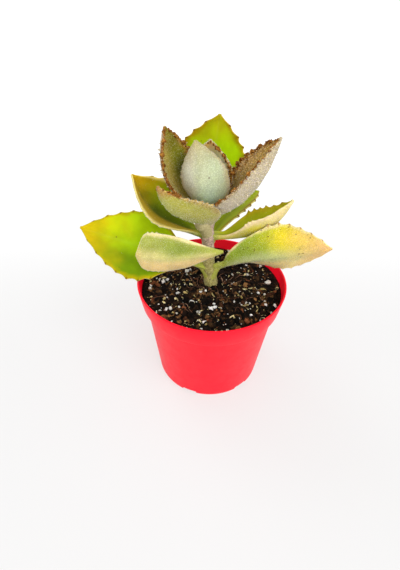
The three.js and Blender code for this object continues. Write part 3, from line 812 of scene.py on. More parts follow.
def soil_body(relief):
    """The mix that fills the pot, with a lumpy surface."""
    edge = collar_inside(SOIL_EDGE_Z) - SOIL_CLEARANCE
    bottom, ledge = FLOOR + SOIL_CLEARANCE, LEDGE_Z + SOIL_CLEARANCE
    profile = [(0, bottom), (body_inside(FLOOR) - 1, bottom),
               (body_inside(LEDGE_Z) - SOIL_CLEARANCE, ledge),
               (collar_inside(LEDGE_Z) - SOIL_CLEARANCE, ledge)]
    profile += [(edge * (1 - i / SOIL_RINGS), SOIL_EDGE_Z) for i in range(SOIL_RINGS)]
    profile.append((0, SOIL_EDGE_Z))
    bm = spun(profile, SOIL_STEPS)
    for v in bm.verts:
        if v.co.z > SOIL_EDGE_Z - 0.1:
            v.co.z = soil_level(v.co.x, v.co.y, relief)
    return bm


def lump(seed, squash, rough, divisions):
    """A rough lump with a radius of about 1, squashed along its axes."""
    bm = bmesh.new()
    bmesh.ops.create_icosphere(bm, subdivisions=divisions, radius=1)
    for v in bm.verts:
        v.co *= 1 + rough * noise.noise(v.co * 1.7 + Vector((seed * 3.1, 0, 0)))
    bmesh.ops.scale(bm, vec=squash, verts=bm.verts)
    return bm


def hull(seed):
    """A pale flake curled like a seed's hull."""
    bm = bmesh.new()
    bmesh.ops.create_grid(bm, x_segments=5, y_segments=4, size=1)
    for v in bm.verts:
        bend = v.co.x * 1.25
        narrow = 1 - 0.55 * abs(v.co.y) ** 2
        v.co = Vector((math.sin(bend) * 0.75 * narrow, v.co.y * 1.3, -math.cos(bend) * 0.75 * narrow))
        v.co += 0.18 * Vector((noise.noise(v.co * 2 + Vector((seed, 0, 0))), 0, noise.noise(v.co * 2)))
    bmesh.ops.solidify(bm, geom=bm.faces[:], thickness=0.22)
    bmesh.ops.recalc_face_normals(bm, faces=bm.faces)
    return bm


def chip(seed):
    """A flat broken chip of bark."""
    bm = bmesh.new()
    bmesh.ops.create_cube(bm, size=1.6)
    bmesh.ops.bevel(bm, geom=bm.edges[:], offset=0.3, affect="EDGES", segments=1,
                    profile=0.5, material=-1)
    bmesh.ops.scale(bm, vec=(1.25, 0.8, 0.42), verts=bm.verts)
    for v in bm.verts:
        v.co *= 1 + 0.55 * noise.noise(v.co * 1.3 + Vector((0, seed * 5.3, 0)))
    return bm


def scattered(draw, count, sizes, relief, kinds, sink, tilt, kept=""):
    """Places for copies over the mix: pairs of a template's number and a matrix. Small ones are
    drawn more often than large ones, and all but the landmarks of the kind that is kept are drawn
    clear of the stem and of the wall."""
    wanted = [(x, y, size) for x, y, size, kind in LANDMARKS if kind == kept]
    reach = collar_inside(SOIL_MIDDLE_Z) - SOIL_CLEARANCE
    count += len(wanted)
    while len(wanted) < count:
        size = blend(*sizes, draw.random() ** 3)
        radius = math.sqrt(draw.random()) * (reach - 1.3 * size)
        angle = draw.uniform(0, 2 * math.pi)
        x, y = radius * math.cos(angle), radius * math.sin(angle)
        if math.hypot(x - SOIL_NODE[0], y - SOIL_NODE[1]) > STEM_FOOT_RADIUS + 0.6 * size:
            wanted.append((x, y, size))
    places = []
    for x, y, size in wanted:
        z = soil_level(x, y, relief) - sink * size
        axis = Vector((draw.uniform(-1, 1), draw.uniform(-1, 1), 0.01)).normalized()
        turn = Quaternion(axis, draw.uniform(0, tilt)) @ Quaternion((0, 0, 1), draw.uniform(0, ANY_TURN))
        long, high = size * draw.uniform(0.8, 1.2), size * draw.uniform(0.7, 1.1)
        shaped = turn.to_matrix().to_4x4() @ Matrix.Diagonal((long, size, high, 1))
        places.append((draw.randrange(kinds), Matrix.Translation((x, y, z)) @ shaped))
    return places


def earth(name, dark, light, scale, roughness, bump, darkness=3.0):
    """Matt stuff of the mix, from dark to light in irregular patches. The higher the darkness, the
    fewer of them are light."""
    def coloured(tree):
        drawn = calculated(tree, "POWER", cells(tree, scale)[1], darkness)
        return mottled(tree, mixed(tree, drawn, linear(dark), linear(light)), 1100.0, 0.45)

    def pitted(tree):
        return grain(tree, 1700.0, 4.0, 0.7)

    return principled(name, coloured, roughness, pitted, bump, Specular_IOR_Level=0.12)


class KALANCHOE_OT_mix(bpy.types.Operator):
    """Adds the growing mix that fills the pot, with the dark crumbs of its surface"""

    bl_idname = "kalanchoe.add_mix"
    bl_label = "Growing mix"

    def execute(self, context):
        settings = context.scene.kalanchoe_mix
        relief = settings.relief / MM
        peat = earth("peat", "#060403", "#2e1d11", 700.0, 0.95, 0.9)
        piece("growing_mix", soil_body(relief), [peat], "growing_mix", ["soil"])
        draw = random.Random(settings.seed)
        crumb = earth("crumbs", "#070403", "#946a40", 330.0, 0.95, 0.8, 5.0)
        shapes = [lump(i, (1, 0.8, 0.7), 0.8, 1) for i in range(6)]
        places = scattered(draw, settings.crumbs, (0.35, 2.2), relief, len(shapes), 0.15, 3)
        piece("mix_crumbs", copies(shapes, places), [crumb], "growing_mix")
        return {"FINISHED"}


class KALANCHOE_OT_grains(bpy.types.Operator):
    """Adds what lies in the mix's surface: perlite, curled hulls, bark chips and fibres"""

    bl_idname = "kalanchoe.add_grains"
    bl_label = "Grains and fibres"

    def execute(self, context):
        settings = context.scene.kalanchoe_mix
        relief = settings.relief / MM
        draw = random.Random(settings.seed + 1)
        kinds = (  # name, count, half widths, how deep they lie, how far they tilt, kind, shapes, colour
            ("perlite_grains", settings.perlite, (0.3, 1.3), -0.25, 3, "perlite",
             [lump(i + 20, (1, 0.85, 0.75), 0.9, 2) for i in range(6)],
             earth("perlite", "#e2dccc", "#ffffff", 420.0, 0.85, 0.5, 1.0)),
            ("hull_flakes", settings.hulls, (0.45, 1.6), -0.3, 1.4, "hull",
             [hull(i) for i in range(4)],
             earth("hulls", "#b8a05a", "#fff2ba", 380.0, 0.7, 0.35, 1.0)),
            ("bark_chips", settings.bark, (0.6, 2.3), -0.15, 0.9, "bark",
             [chip(i) for i in range(5)],
             earth("bark", "#1c0f08", "#8a5230", 260.0, 0.85, 0.8)),
        )
        for name, count, sizes, sink, tilt, kind, shapes, stuff in kinds:
            places = scattered(draw, count, sizes, relief, len(shapes), sink, tilt, kind)
            piece(name, copies(shapes, places), [stuff], "growing_mix")
        stuff = earth("fibre", "#6b4836", "#b08a70", 300.0, 0.8, 0.2)
        piece("root_fibres", fibres(draw, settings.fibres, relief), [stuff], "growing_mix")
        return {"FINISHED"}


def fibres(draw, count, relief):
    """Thin bent fibres that lie on the mix, most of them near the stem's foot."""
    tubes = []
    for _ in range(count):
        radius = STEM_FOOT_RADIUS + 2 + FIBRES_REACH * draw.random() ** 2
        angle = draw.uniform(0, 2 * math.pi)
        x = SOIL_NODE[0] + radius * math.cos(angle)
        y = SOIL_NODE[1] + radius * math.sin(angle)
        heading = draw.uniform(0, 2 * math.pi)
        stride = draw.uniform(*FIBRE_LENGTHS) / FIBRE_STRIDES
        points = []
        for step in range(FIBRE_STRIDES + 1):
            heading += draw.uniform(-FIBRE_BEND, FIBRE_BEND)
            x += stride * math.cos(heading)
            y += stride * math.sin(heading)
            if math.hypot(x, y) > collar_inside(SOIL_MIDDLE_Z) - 1:
                break
            arch = FIBRE_ARCH * math.sin(math.pi * step / FIBRE_STRIDES)
            points.append((x, y, soil_level(x, y, relief) + FIBRE_LIFT + arch))
        if len(points) > 3:
            tubes.append(swept(points, [FIBRE_RADIUS] * len(points), 5))
    return copies(tubes, [(i, Matrix()) for i in range(len(tubes))])


# ---- Stem ----

def smoothstep(x, low, high):
    share = min(max((x - low) / (high - low), 0), 1)
    return share * share * (3 - 2 * share)


def stem_middle(z):
    """Middle of the stem at a height."""
    nodes = [Vector(n) for n in STEM_NODES]
    for low, high in zip(nodes, nodes[1:]):
        if z <= high.z:
            return low.lerp(high, (z - low.z) / (high.z - low.z))
    return nodes[-1]


def stem_radius(z):
    """Radius of the stem at a height, larger at its foot and its nodes and smaller at its tip."""
    radius = blend(STEM_RADIUS, STEM_FOOT_RADIUS, smoothstep(FIRST[2] - z, 0, FIRST[2] - SOIL_NODE[2]))
    radius = blend(radius, STEM_TIP_RADIUS, smoothstep(z, FOURTH[2], TIP[2]))
    for node in (FIRST, SECOND, THIRD, FOURTH):
        radius += NODE_SWELLING * max(0, 1 - abs(z - node[2]) / NODE_REACH)
    return radius


def stem_tube():
    """The stem with its swollen nodes, uneven between them, its foot below the mix's surface."""
    low, high = SOIL_NODE[2] - STEM_DEPTH, TIP[2]
    heights = [blend(low, high, i / STEM_RINGS) for i in range(STEM_RINGS + 1)]
    bm = swept([stem_middle(z) for z in heights], [stem_radius(z) for z in heights], 28)
    for v in bm.verts:
        out = v.co - stem_middle(v.co.z)
        out.z = 0
        ripple = noise.noise(v.co * 0.4) + 0.5 * noise.noise(v.co * 0.8)
        v.co += out.normalized() * 0.25 * ripple
    return bm


BARK_CHANGE = (0.086, 0.102)  # heights in metres between which the bark turns pinkish
DOTS_FADE = (0.1, 0.08)  # and between which its dots become more frequent, from above


def stem_skin(settings):
    """Felted bark: green with dark dots at the foot, pinkish grey above, under the felt's painted light and
    shade.
    """
    def coloured(tree):
        height = apart(tree, position(tree))["Z"]
        upper = steps(tree, plus(tree, height, grain(tree, 180.0, 3.0), 0.012), *BARK_CHANGE)
        base = mottled(tree, mixed(tree, upper, linear("#bcb46c"), linear("#e2c6b4")), 520.0, 0.4)
        spotted = times(tree, dots(tree, 650.0, 0.4), steps(tree, height, *DOTS_FADE, 0.6, 1.0))
        return felted(tree, mixed(tree, spotted, base, linear("#4b3a2e")), settings.felt, 0.75)

    def fuzzy(tree):
        return felt_height(tree, 0.9)

    return principled("stem skin", coloured, 0.85, fuzzy, 0.8, Specular_IOR_Level=0.1,
                      Sheen_Weight=0.08, Sheen_Roughness=0.5)


def felted_skin(name, base, amount, settings):
    """Felt over one colour, with the felt's painted light and shade."""
    def coloured(tree):
        return felted(tree, linear(base), settings.felt, amount)

    def fuzzy(tree):
        return felt_height(tree, amount)

    return principled(name, coloured, 0.85, fuzzy, 0.8, Specular_IOR_Level=0.1)


class KALANCHOE_OT_stem(bpy.types.Operator):
    """Adds the felted stem"""

    bl_idname = "kalanchoe.add_stem"
    bl_label = "Stem"

    def execute(self, context):
        settings = context.scene.kalanchoe_plant
        piece("felted_stem", stem_tube(), [stem_skin(settings)], "stem_felt", ["stem"])
        return {"FINISHED"}


# ---- Leaves ----

def half_width(leaf, t, u):
    """Half the blade's width without its teeth, on the side of u: its left where u is above 0."""
    side = 0 if u > 0 else 1
    stalk, widest = leaf.stalk_width / 2, leaf.width / 2
    if t <= leaf.stalk:
        half = stalk
    elif t < leaf.widest:
        s = (t - leaf.stalk) / (leaf.widest - leaf.stalk)
        half = blend(stalk, widest, math.sin(math.pi / 2 * s) ** leaf.shoulder[side])
    else:
        s = (t - leaf.widest) / (1 - leaf.widest)
        half = max(widest * (1 - s ** leaf.point[side]), 0.6)
    return half * leaf.halves[side]


def tooth_at(leaf, t, u):
    """(how far a tooth stands out at a place, as a share of the deepest one, and how near its point
    is, from 0 to 1). No two teeth are alike."""
    pitch = (1 - leaf.toothed) / (leaf.teeth + 0.5)
    number = math.floor((t - leaf.toothed) / pitch)
    if not 0 <= number < leaf.teeth:
        return 0, 0
    s = (t - leaf.toothed) / pitch - number
    slope = (s / TOOTH_PEAK) ** 2 if s < TOOTH_PEAK else ((1 - s) / (1 - TOOTH_PEAK)) ** 1.6
    seed = Vector((number * 3.7, leaf.width, math.copysign(2.3, u)))
    size = TOOTH_SIZE[0] + TOOTH_SIZE[1] * noise.noise(seed)
    shown = leaf.tooth_sides[0 if u > 0 else 1]
    near = slope * abs(u) ** TOOTH_REACH
    return size * blend(0.4, 1, shown) * (1 - TOOTH_FADE * number / leaf.teeth) * near, shown * near


def rows_of(leaf):
    """Shares along the leaf where its rows of points lie, close together where it has teeth."""
    plain = [leaf.toothed * i / PLAIN_ROWS for i in range(PLAIN_ROWS)]
    count = round((leaf.teeth + 0.5) * ROWS_PER_TOOTH)
    return plain + [blend(leaf.toothed, 1, i / count) for i in range(count + 1)]


def bezier(path, t):
    """(point, direction) of a cubic curve."""
    a, b, c, d = (Vector(p) for p in path)
    s = 1 - t
    point = a * s ** 3 + b * 3 * s * s * t + c * 3 * s * t * t + d * t ** 3
    ahead = (b - a) * s * s + (c - b) * 2 * s * t + (d - c) * t * t
    return point, ahead.normalized()


def blade_point(leaf, t, u, face, bulge=0.0):
    """A point of the blade in millimetres. u runs from -1 at the right margin to 1 at the left one,
    face from -1 at the underside to 1 at the upper face."""
    middle, along = bezier(leaf.path, t)
    heading = math.radians(leaf.across)
    level = Vector((-math.sin(heading), math.cos(heading), 0))
    level = (level - along * level.dot(along)).normalized()
    roll = math.radians(blend(*leaf.roll, smoothstep(t, 0, TURNED_AT)))
    across = Quaternion(along, roll) @ level
    up = along.cross(across)

    tooth, _ = tooth_at(leaf, t, u)
    half = half_width(leaf, t, u) + leaf.tooth_depth * tooth + bulge
    body = blend(MIDRIB_THICKNESS, TIP_THICKNESS, t)
    thick = blend(leaf.thick, body, smoothstep(t, 0, leaf.stalk + 0.2))
    thick = blend(MARGIN_THICKNESS * (1 + 0.5 * tooth), thick, 1 - u * u)
    pucker = PUCKER * noise.noise(middle * 0.13 + Vector((u * 1.7, leaf.width, 0))) * (1 - (1 - t) ** 8)
    lift = face * thick / 2

    fold, cup = math.radians(leaf.fold), math.radians(leaf.cup)
    side = (u > 0) - (u < 0)
    slope = fold + cup * abs(u)
    out = half * (math.sin(slope) - math.sin(fold)) / cup
    rise = half * (math.cos(fold) - math.cos(slope)) / cup
    lean = slope if side else 0
    square = 1 if side else 1 / math.cos(fold)
    inward = min(lift * math.sin(lean), 0.7 * out)
    return middle + across * side * (out - inward) + up * (rise + lift * square * math.cos(lean) + pucker)


def chart_of(leaf):
    """A thin slab whose X runs over the blade's width, Y over its rows and Z through it."""
    bm = bmesh.new()
    bmesh.ops.create_grid(bm, x_segments=COLUMNS, y_segments=len(rows_of(leaf)) - 1, size=0.5)
    bmesh.ops.translate(bm, verts=bm.verts, vec=(0, 0, -1))
    made = bmesh.ops.extrude_face_region(bm, geom=bm.faces[:], use_keep_orig=True)["geom"]
    raised = [v for v in made if isinstance(v, bmesh.types.BMVert)]
    bmesh.ops.translate(bm, verts=raised, vec=(0, 0, 2))
    bmesh.ops.subdivide_edges(bm, edges=edges_along(bm, 2, 1), cuts=1, use_grid_fill=True)
    bmesh.ops.recalc_face_normals(bm, faces=bm.faces)
    return bm


def blade(leaf):
    """The blade, bent from its chart, with its places over width and length in a UV map and with
    its faces and teeth marked by attributes."""
    rows = rows_of(leaf)
    bm = chart_of(leaf)
    chart = bm.loops.layers.uv.new("blade")
    face_mark = bm.verts.layers.float.new("face")
    tooth_mark = bm.verts.layers.float.new("tooth")
    places = {}
    for v in bm.verts:
        x = 2 * v.co.x
        u = math.copysign(1 - (1 - abs(x)) ** COLUMN_CROWDING, x) if abs(x) > 1e-6 else 0
        t = rows[round((v.co.y + 0.5) * (len(rows) - 1))]
        places[v] = (t, u, v.co.z)
    for v, (t, u, face) in places.items():
        v[face_mark] = face
        v[tooth_mark] = tooth_at(leaf, t, u)[1]
        bulge = EDGE_BULGE if abs(face) < 0.5 and abs(u) > 0.99 else 0
        v.co = blade_point(leaf, t, u, face, bulge)
    for f in bm.faces:
        for corner in f.loops:
            t, u, _ = places[corner.vert]
            corner[chart].uv = (u / 2 + 0.5, t)
    bmesh.ops.recalc_face_normals(bm, faces=bm.faces)
    return bm


def face_inputs(leaf, face):
    """What the shared group needs to colour one face of a leaf."""
    colours = {label.capitalize(): linear(getattr(face, label))
               for label in ("left", "right", "tip", "margin", "midrib", "blush")}
    return colours | {
        "Tip Start": face.tip_start, "Margin Width": face.margin_width,
        "Blush Across": face.blush_at[0], "Blush Along": face.blush_at[1],
        "Blush Size": max(face.blush_size, 0.001), "Rust": leaf.fringe,
        "Stalk": linear(leaf.stalk_colour),
    }


def leaf_skin(name, leaf, settings):
    """Skin of a leaf: each face's colours, brown teeth, scattered dots, and felt with its painted light and
    shade over all.
    """
    def mark(tree, attribute):
        return add(tree, "ShaderNodeAttribute", attribute_name=attribute).outputs["Fac"]

    def upper_mask(tree):
        return steps(tree, mark(tree, "face"), 0.25, 0.85)

    def felt_amount(tree):
        return steps(tree, upper_mask(tree), 0.0, 1.0, leaf.under.felt, leaf.upper.felt)

    def coloured(tree):
        under, upper = (use(tree, build_leaf_face, face_inputs(leaf, face))["Color"]
                        for face in (leaf.under, leaf.upper))
        base = mottled(tree, mixed(tree, upper_mask(tree), under, upper), 130.0, 0.16)
        tooth = steps(tree, mark(tree, "tooth"), 0.55, 0.95, 0, 0.95)
        base = mixed(tree, tooth, base, linear(leaf.tooth))
        dark = times(tree, dots(tree, 480.0, 0.2 * leaf.dots), 0.75)
        base = mixed(tree, dark, base, linear("#5b3a1c"))
        return felted(tree, base, settings.felt, felt_amount(tree))

    def relief(tree):
        veins = use(tree, build_leaf_face)["Veins"]
        return minus(tree, felt_height(tree, felt_amount(tree)), times(tree, veins, 0.05))

    return principled(name + " skin", coloured, blend(0.5, 0.9, leaf.felt), relief, 0.8,
                      Sheen_Weight=0.08 * leaf.felt, Sheen_Roughness=0.5,
                      Specular_IOR_Level=0.08 - 0.04 * leaf.felt, Subsurface_Weight=0.3,
                      Subsurface_Radius=(0.002, 0.0022, 0.0003), Subsurface_Scale=1.0)


def fringe_at(leaf, t):
    """Share of the margin's felt that is rust-brown at a place along the leaf."""
    return leaf.fringe * smoothstep(t, leaf.fringe_start, leaf.fringe_start + 0.15)


def stood(middle, direction, height):
    """A matrix that turns an upright shape along a direction and stretches it to a height."""
    turn = direction.to_track_quat("Z", "Y").to_matrix().to_4x4()
    return Matrix.Translation(middle) @ turn @ Matrix.Diagonal((1, 1, height, 1))


def tubercles(leaf):
    """Blunt cones in two rows on the underside."""
    cone = bmesh.new()
    bmesh.ops.create_cone(cone, segments=10, radius1=TUBERCLE["radius"], radius2=0.12, depth=1,
                          cap_ends=True)
    bmesh.ops.subdivide_edges(cone, edges=edges_along(cone, 2, 0.5), cuts=2)
    places = []
    for i in range(leaf.tubercles):
        t = blend(TUBERCLE["first"], TUBERCLE["last"], i / (leaf.tubercles - 1))
        for u in (TUBERCLE["side"], -TUBERCLE["side"]):
            root = blade_point(leaf, t, u, 0)
            out = blade_point(leaf, t, u, -1) - root
            height = TUBERCLE["height"] + out.length
            out.normalize()
            places.append((0, stood(root + out * height / 2, out, height)))
    return copies([cone], places)


def hairs(leaf, count, length, draw):
    """Short felt hairs over both faces, leaning towards the tip, and more of them on the margin,
    where a share is rust-brown."""
    pale = bmesh.new()
    bmesh.ops.create_cone(pale, segments=3, radius1=HAIR_RADIUS, radius2=0, depth=1, cap_ends=False)
    bmesh.ops.translate(pale, verts=pale.verts, vec=(0, 0, 0.5))
    brown = pale.copy()
    bmesh.ops.scale(brown, vec=(RUST_HAIR_WIDTH, RUST_HAIR_WIDTH, 1), verts=brown.verts)
    for f in brown.faces:
        f.material_index = 1
    upper = 0.6 * leaf.upper.felt ** 2
    places = []
    while len(places) < count:
        t, u = draw.random(), draw.uniform(-1, 1)
        if draw.random() > half_width(leaf, t, u) / (leaf.width / 2):
            continue
        face = 1 if draw.random() < upper / (upper + leaf.under.felt) else -1
        number = 0
        if draw.random() < MARGIN_HAIRS:
            u = math.copysign(1, u)
            face *= draw.random()
            number = int(draw.random() < fringe_at(leaf, t))
        foot = blade_point(leaf, t, u, face)
        core = blade_point(leaf, t, u * 0.92, 0)
        out = (foot - core).normalized() + bezier(leaf.path, t)[1] * 0.5
        out += Vector([draw.uniform(-0.7, 0.7) for _ in range(3)])
        places.append((number, stood(foot, out, length * draw.uniform(0.45, 1))))
    return copies([pale, brown], places)


def sheath(leaf):
    """The base of a leaf's stalk, that widens into the stem below it."""
    node = Vector(leaf.path[0])
    reach, end_radius = leaf.sheath_end
    start, end = stem_middle(node.z - leaf.sheath), bezier(leaf.path, reach)[0]
    bend = node.lerp(end, 0.25)
    points, radii = [], []
    for i in range(STALK_RINGS + 1):
        s = i / STALK_RINGS
        on_curve = start * (1 - s) ** 2 + bend * 2 * s * (1 - s) + end * s * s
        points.append(on_curve - Vector((0, 0, 0.5 * s)))
        radii.append(blend(stem_radius(start.z) - 0.3, end_radius, smoothstep(s, 0, 1)))
    return swept(points, radii, STALK_SIDES)


def petiole(leaf):
    """A stalk of its own, that turns behind the blade."""
    middles = [bezier(leaf.petiole, i / STALK_RINGS)[0] for i in range(STALK_RINGS + 1)]
    return swept(middles, [STALK_THICKNESS / 2] * len(middles), STALK_SIDES)


def spikes(leaf, draw):
    """Soft pale spikes on the underside, along the keel and beside the margins."""
    cone = bmesh.new()
    bmesh.ops.create_cone(cone, segments=6, radius1=SPIKE_RADII[0], radius2=SPIKE_RADII[1], depth=1,
                          cap_ends=True)
    places = []
    for u in SPIKE_ROWS:
        for i in range(SPIKES_IN_ROW):
            t = SPIKES_START + SPIKE_STEP * i + draw.uniform(-0.02, 0.02)
            root = blade_point(leaf, t, u * 0.97, 0)
            out = (blade_point(leaf, t, u, -1) - blade_point(leaf, t, u * 0.86, 0)).normalized()
            height = draw.uniform(*SPIKE_HEIGHTS)
            lean = out + bezier(leaf.path, t)[1] * 0.3
            places.append((0, stood(root + out * height / 2, lean, height)))
    return copies([cone], places)


def beads(leaf, draw):
    """Rust-brown tufts of felt along both margins, the largest on the teeth, and smaller ones on
    the upper face beside them."""
    shapes = [lump(i + 40, (1, 0.8, 0.8), 0.9, 1) for i in range(6)]
    places = []
    for side in (1, -1):
        t = 0.0
        while t < 0.985:
            t += draw.uniform(*TUFT_STEPS)
            inward = draw.random() ** 3
            if t > 1 or draw.random() > fringe_at(leaf, t) * (1 - 0.4 * inward):
                continue
            size = draw.uniform(*TUFT_RADII) * (1 - 0.5 * inward)
            size += TUFT_ON_TOOTH * tooth_at(leaf, t, side)[1]
            face = blend(draw.uniform(*leaf.fringe_faces), 1, inward)
            middle = blade_point(leaf, t, side * (0.99 - 0.24 * inward), face)
            turned = Matrix.Rotation(draw.uniform(0, ANY_TURN), 4, "Z") @ Matrix.Scale(size, 4)
            places.append((draw.randrange(len(shapes)), Matrix.Translation(middle) @ turned))
    return copies(shapes, places)


class KALANCHOE_OT_leaves(bpy.types.Operator):
    """Adds the twelve leaves, their sheaths, and what stands out from the felted ones"""

    bl_idname = "kalanchoe.add_leaves"
    bl_label = "Leaves"

    def execute(self, context):
        settings = context.scene.kalanchoe_plant
        draw = random.Random(SPIKE_SEED)
        silver = felted_skin("tubercle skin", "#dccfb4", 0.8, settings)
        rust = earth("rust tufts", "#6e3c08", "#cf9444", 1300.0, 0.9, 0.4, 2.0)
        for name, leaf in LEAVES.items():
            skin = leaf_skin(name, leaf, settings)
            stalk_skin = felted_skin(name + " stalk skin", leaf.stalk_colour, 0.6, settings)
            piece(name + "_blade", blade(leaf), [skin], leaf.slot, [name], levels=1)
            if leaf.petiole:
                piece(name + "_petiole", petiole(leaf), [stalk_skin], leaf.slot)
            if leaf.sheath:
                piece(name + "_sheath", sheath(leaf), [stalk_skin], leaf.slot)
            if leaf.tubercles:
                piece(name + "_tubercles", tubercles(leaf), [silver], leaf.slot, levels=1)
                piece(name + "_spikes", spikes(leaf, draw), [silver], leaf.slot)
            if leaf.fringe:
                piece(name + "_beads", beads(leaf, draw), [rust], leaf.slot)
        return {"FINISHED"}


class KALANCHOE_OT_hairs(bpy.types.Operator):
    """Adds the felt's standing hairs on every leaf"""

    bl_idname = "kalanchoe.add_hairs"
    bl_label = "Felt hairs"

    def execute(self, context):
        settings = context.scene.kalanchoe_plant
        pale = principled("felt hair", (*settings.felt, 1), 0.8, Specular_IOR_Level=0.1)
        brown = principled("rust hair", linear("#8a5a20"), 0.8, Specular_IOR_Level=0.1)
        draw = random.Random(HAIR_SEED)
        for name, leaf in LEAVES.items():
            count = round(settings.hair_count * leaf.felt * leaf.width / WIDTH_FOR_HAIRS)
            grown = hairs(leaf, count, settings.hair_length / MM, draw)
            piece(name + "_hairs", grown, [pale, brown], leaf.slot)
        return {"FINISHED"}


# ---- Stage ----

# The camera is given by its focal length in the photograph's pixels, its height above the horizon,
# its tilt, and where the middle of the pot's rim lies in the picture.
IMAGE = (400, 570)
FOCAL_PIXELS = 360.0
ELEVATION = 39.5
TILT = 1.47
RIM_MIDDLE = (211.8, 277.8)
RIM_DISTANCE = 218.6
SENSOR = 36.0

# The floor and the lamps, in metres.
FLOOR_SIZE = 3
BEND_START = 1.6
BEND_RADIUS = 0.8
NEAR_GLOW = (0.92, 0.91, 0.9, 1)
FAR_GLOW = (1.4, 1.4, 1.4, 1)
LAMPS = (  # name, place, what it points at, width, share of the key lamp's power and colour
    ("key", (0.4, -0.5, 0.7), (0, 0, 0.08), 0.8, 1.0, (1, 0.99, 0.97)),
    ("front", (-0.1, -0.7, 0.3), (0, 0, 0.1), 0.8, 0.4, (1, 1, 1)),
    ("back", (-0.5, 0.5, 0.6), (0, 0, 0.08), 0.6, 0.5, (1, 1, 1)),
)


def camera():
    """The camera, which shows the pot as the photograph does."""
    elevation, tilt = math.radians(ELEVATION), math.radians(TILT)
    forward = Vector((0, math.cos(elevation), -math.sin(elevation)))
    level, high = Vector((1, 0, 0)), Vector((0, math.sin(elevation), math.cos(elevation)))
    right = level * math.cos(tilt) + high * math.sin(tilt)
    up = high * math.cos(tilt) - level * math.sin(tilt)
    scale = RIM_DISTANCE / FOCAL_PIXELS
    middle = Vector((0, 0, POT_HEIGHT)) - forward * RIM_DISTANCE
    middle -= right * (RIM_MIDDLE[0] - IMAGE[0] / 2) * scale
    middle += up * (RIM_MIDDLE[1] - IMAGE[1] / 2) * scale
    data = bpy.data.cameras.new("camera")
    data.sensor_width = SENSOR
    data.lens = FOCAL_PIXELS * SENSOR / IMAGE[1]
    data.clip_start, data.clip_end = 0.01, 20
    made = bpy.data.objects.new("camera", data)
    turn = Matrix((right, up, -forward)).transposed().to_4x4()
    made.matrix_world = Matrix.Translation(middle * MM) @ turn
    return made


def lamp(name, middle, aim, size, power, colour):
    """A round soft lamp that points at a place."""
    data = bpy.data.lights.new(name, "AREA")
    data.shape, data.size, data.energy, data.color = "DISK", size, power, colour
    made = bpy.data.objects.new(name, data)
    turn = (Vector(aim) - Vector(middle)).to_track_quat("-Z", "Y")
    made.matrix_world = Matrix.Translation(middle) @ turn.to_matrix().to_4x4()
    bpy.context.scene.collection.objects.link(made)


def studio_floor(colour):
    """A large floor that bends up into the backdrop far behind the pot."""
    bm = bmesh.new()
    bmesh.ops.create_grid(bm, x_segments=2, y_segments=60, size=FLOOR_SIZE)
    for v in bm.verts:
        past = max(v.co.y - BEND_START, 0)
        bend = min(past / BEND_RADIUS, math.pi / 2)
        above = max(past - BEND_RADIUS * math.pi / 2, 0)
        v.co.z = BEND_RADIUS * (1 - math.cos(bend)) + above
        v.co.y = min(v.co.y, BEND_START) + BEND_RADIUS * math.sin(bend)

    def paper(tree):
        return mottled(tree, (*colour, 1), 6.0, 0.015)

    def bright(tree):
        depth = apart(tree, position(tree))["Y"]
        return mixed(tree, steps(tree, depth, 0.0, 0.4), NEAR_GLOW, FAR_GLOW)

    skin = principled("floor paper", paper, 0.9, glow=bright, Specular_IOR_Level=0.1,
                      Emission_Strength=0.66)
    made = shown("floor", bm, [skin])


class KALANCHOE_OT_stage(bpy.types.Operator):
    """Adds the pale floor, the soft light and the camera"""

    bl_idname = "kalanchoe.add_stage"
    bl_label = "Stage"

    def execute(self, context):
        settings = context.scene.kalanchoe_stage
        scene = context.scene
        studio_floor(settings.floor)
        world = bpy.data.worlds.new("studio")
        world.use_nodes = True
        sky = world.node_tree.nodes["Background"]
        sky.inputs["Color"].default_value = WHITE
        sky.inputs["Strength"].default_value = settings.sky
        scene.world = world
        for name, middle, aim, size, share, colour in LAMPS:
            lamp(name, middle, aim, size, settings.key * share, colour)
        made = camera()
        scene.collection.objects.link(made)
        scene.camera = made
        scene.view_settings.view_transform = "Standard"
        return {"FINISHED"}


# ---- Add-on ----

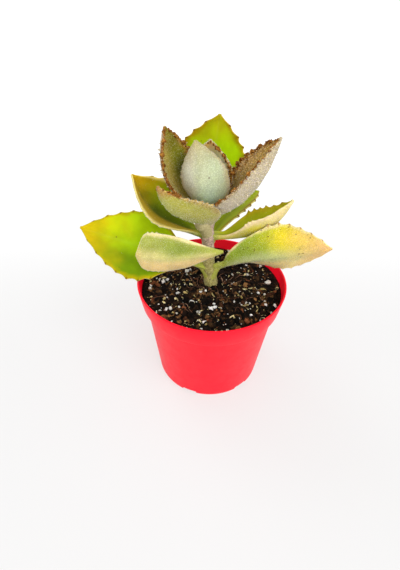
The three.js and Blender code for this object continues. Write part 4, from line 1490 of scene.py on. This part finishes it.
class KALANCHOE_PT_panel(bpy.types.Panel):
    """Lists the settings, and the operators that build the pieces from them"""

    bl_idname = "KALANCHOE_PT_panel"
    bl_label = "Potted kalanchoe"
    bl_space_type = "VIEW_3D"
    bl_region_type = "UI"
    bl_category = "Kalanchoe"

    def draw(self, context):
        for title, settings, names, operators in PANEL:
            box = self.layout.box()
            box.label(text=title)
            for name in names:
                box.prop(getattr(context.scene, settings), name)
            for operator in operators:
                box.operator(operator.bl_idname)


PANEL = (
    ("Pot", "kalanchoe_pot", ("colour", "edge"), (KALANCHOE_OT_pot,)),
    ("Growing mix", "kalanchoe_mix", ("crumbs", "perlite", "hulls", "bark", "fibres", "relief", "seed"),
     (KALANCHOE_OT_mix, KALANCHOE_OT_grains)),
    ("Plant", "kalanchoe_plant", ("hair_length", "hair_count", "felt"),
     (KALANCHOE_OT_stem, KALANCHOE_OT_leaves, KALANCHOE_OT_hairs)),
    ("Stage", "kalanchoe_stage", ("sky", "key", "floor"), (KALANCHOE_OT_stage,)),
)
SETTINGS = {
    "kalanchoe_pot": PotSettings,
    "kalanchoe_mix": MixSettings,
    "kalanchoe_plant": PlantSettings,
    "kalanchoe_stage": StageSettings,
}
OPERATORS = [operator for row in PANEL for operator in row[3]]


def register():
    for cls in (*SETTINGS.values(), *OPERATORS, KALANCHOE_PT_panel):
        bpy.utils.register_class(cls)
    for name, cls in SETTINGS.items():
        setattr(bpy.types.Scene, name, PointerProperty(type=cls))


def unregister():
    for name in SETTINGS:
        delattr(bpy.types.Scene, name)
    for cls in (KALANCHOE_PT_panel, *reversed(OPERATORS), *SETTINGS.values()):
        bpy.utils.unregister_class(cls)


def main():
    register()
    bpy.ops.kalanchoe.add_pot()
    bpy.ops.kalanchoe.add_mix()
    bpy.ops.kalanchoe.add_grains()
    bpy.ops.kalanchoe.add_stem()
    bpy.ops.kalanchoe.add_leaves()
    bpy.ops.kalanchoe.add_hairs()
    bpy.ops.kalanchoe.add_stage()
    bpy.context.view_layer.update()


if __name__ == "__main__":
    main()
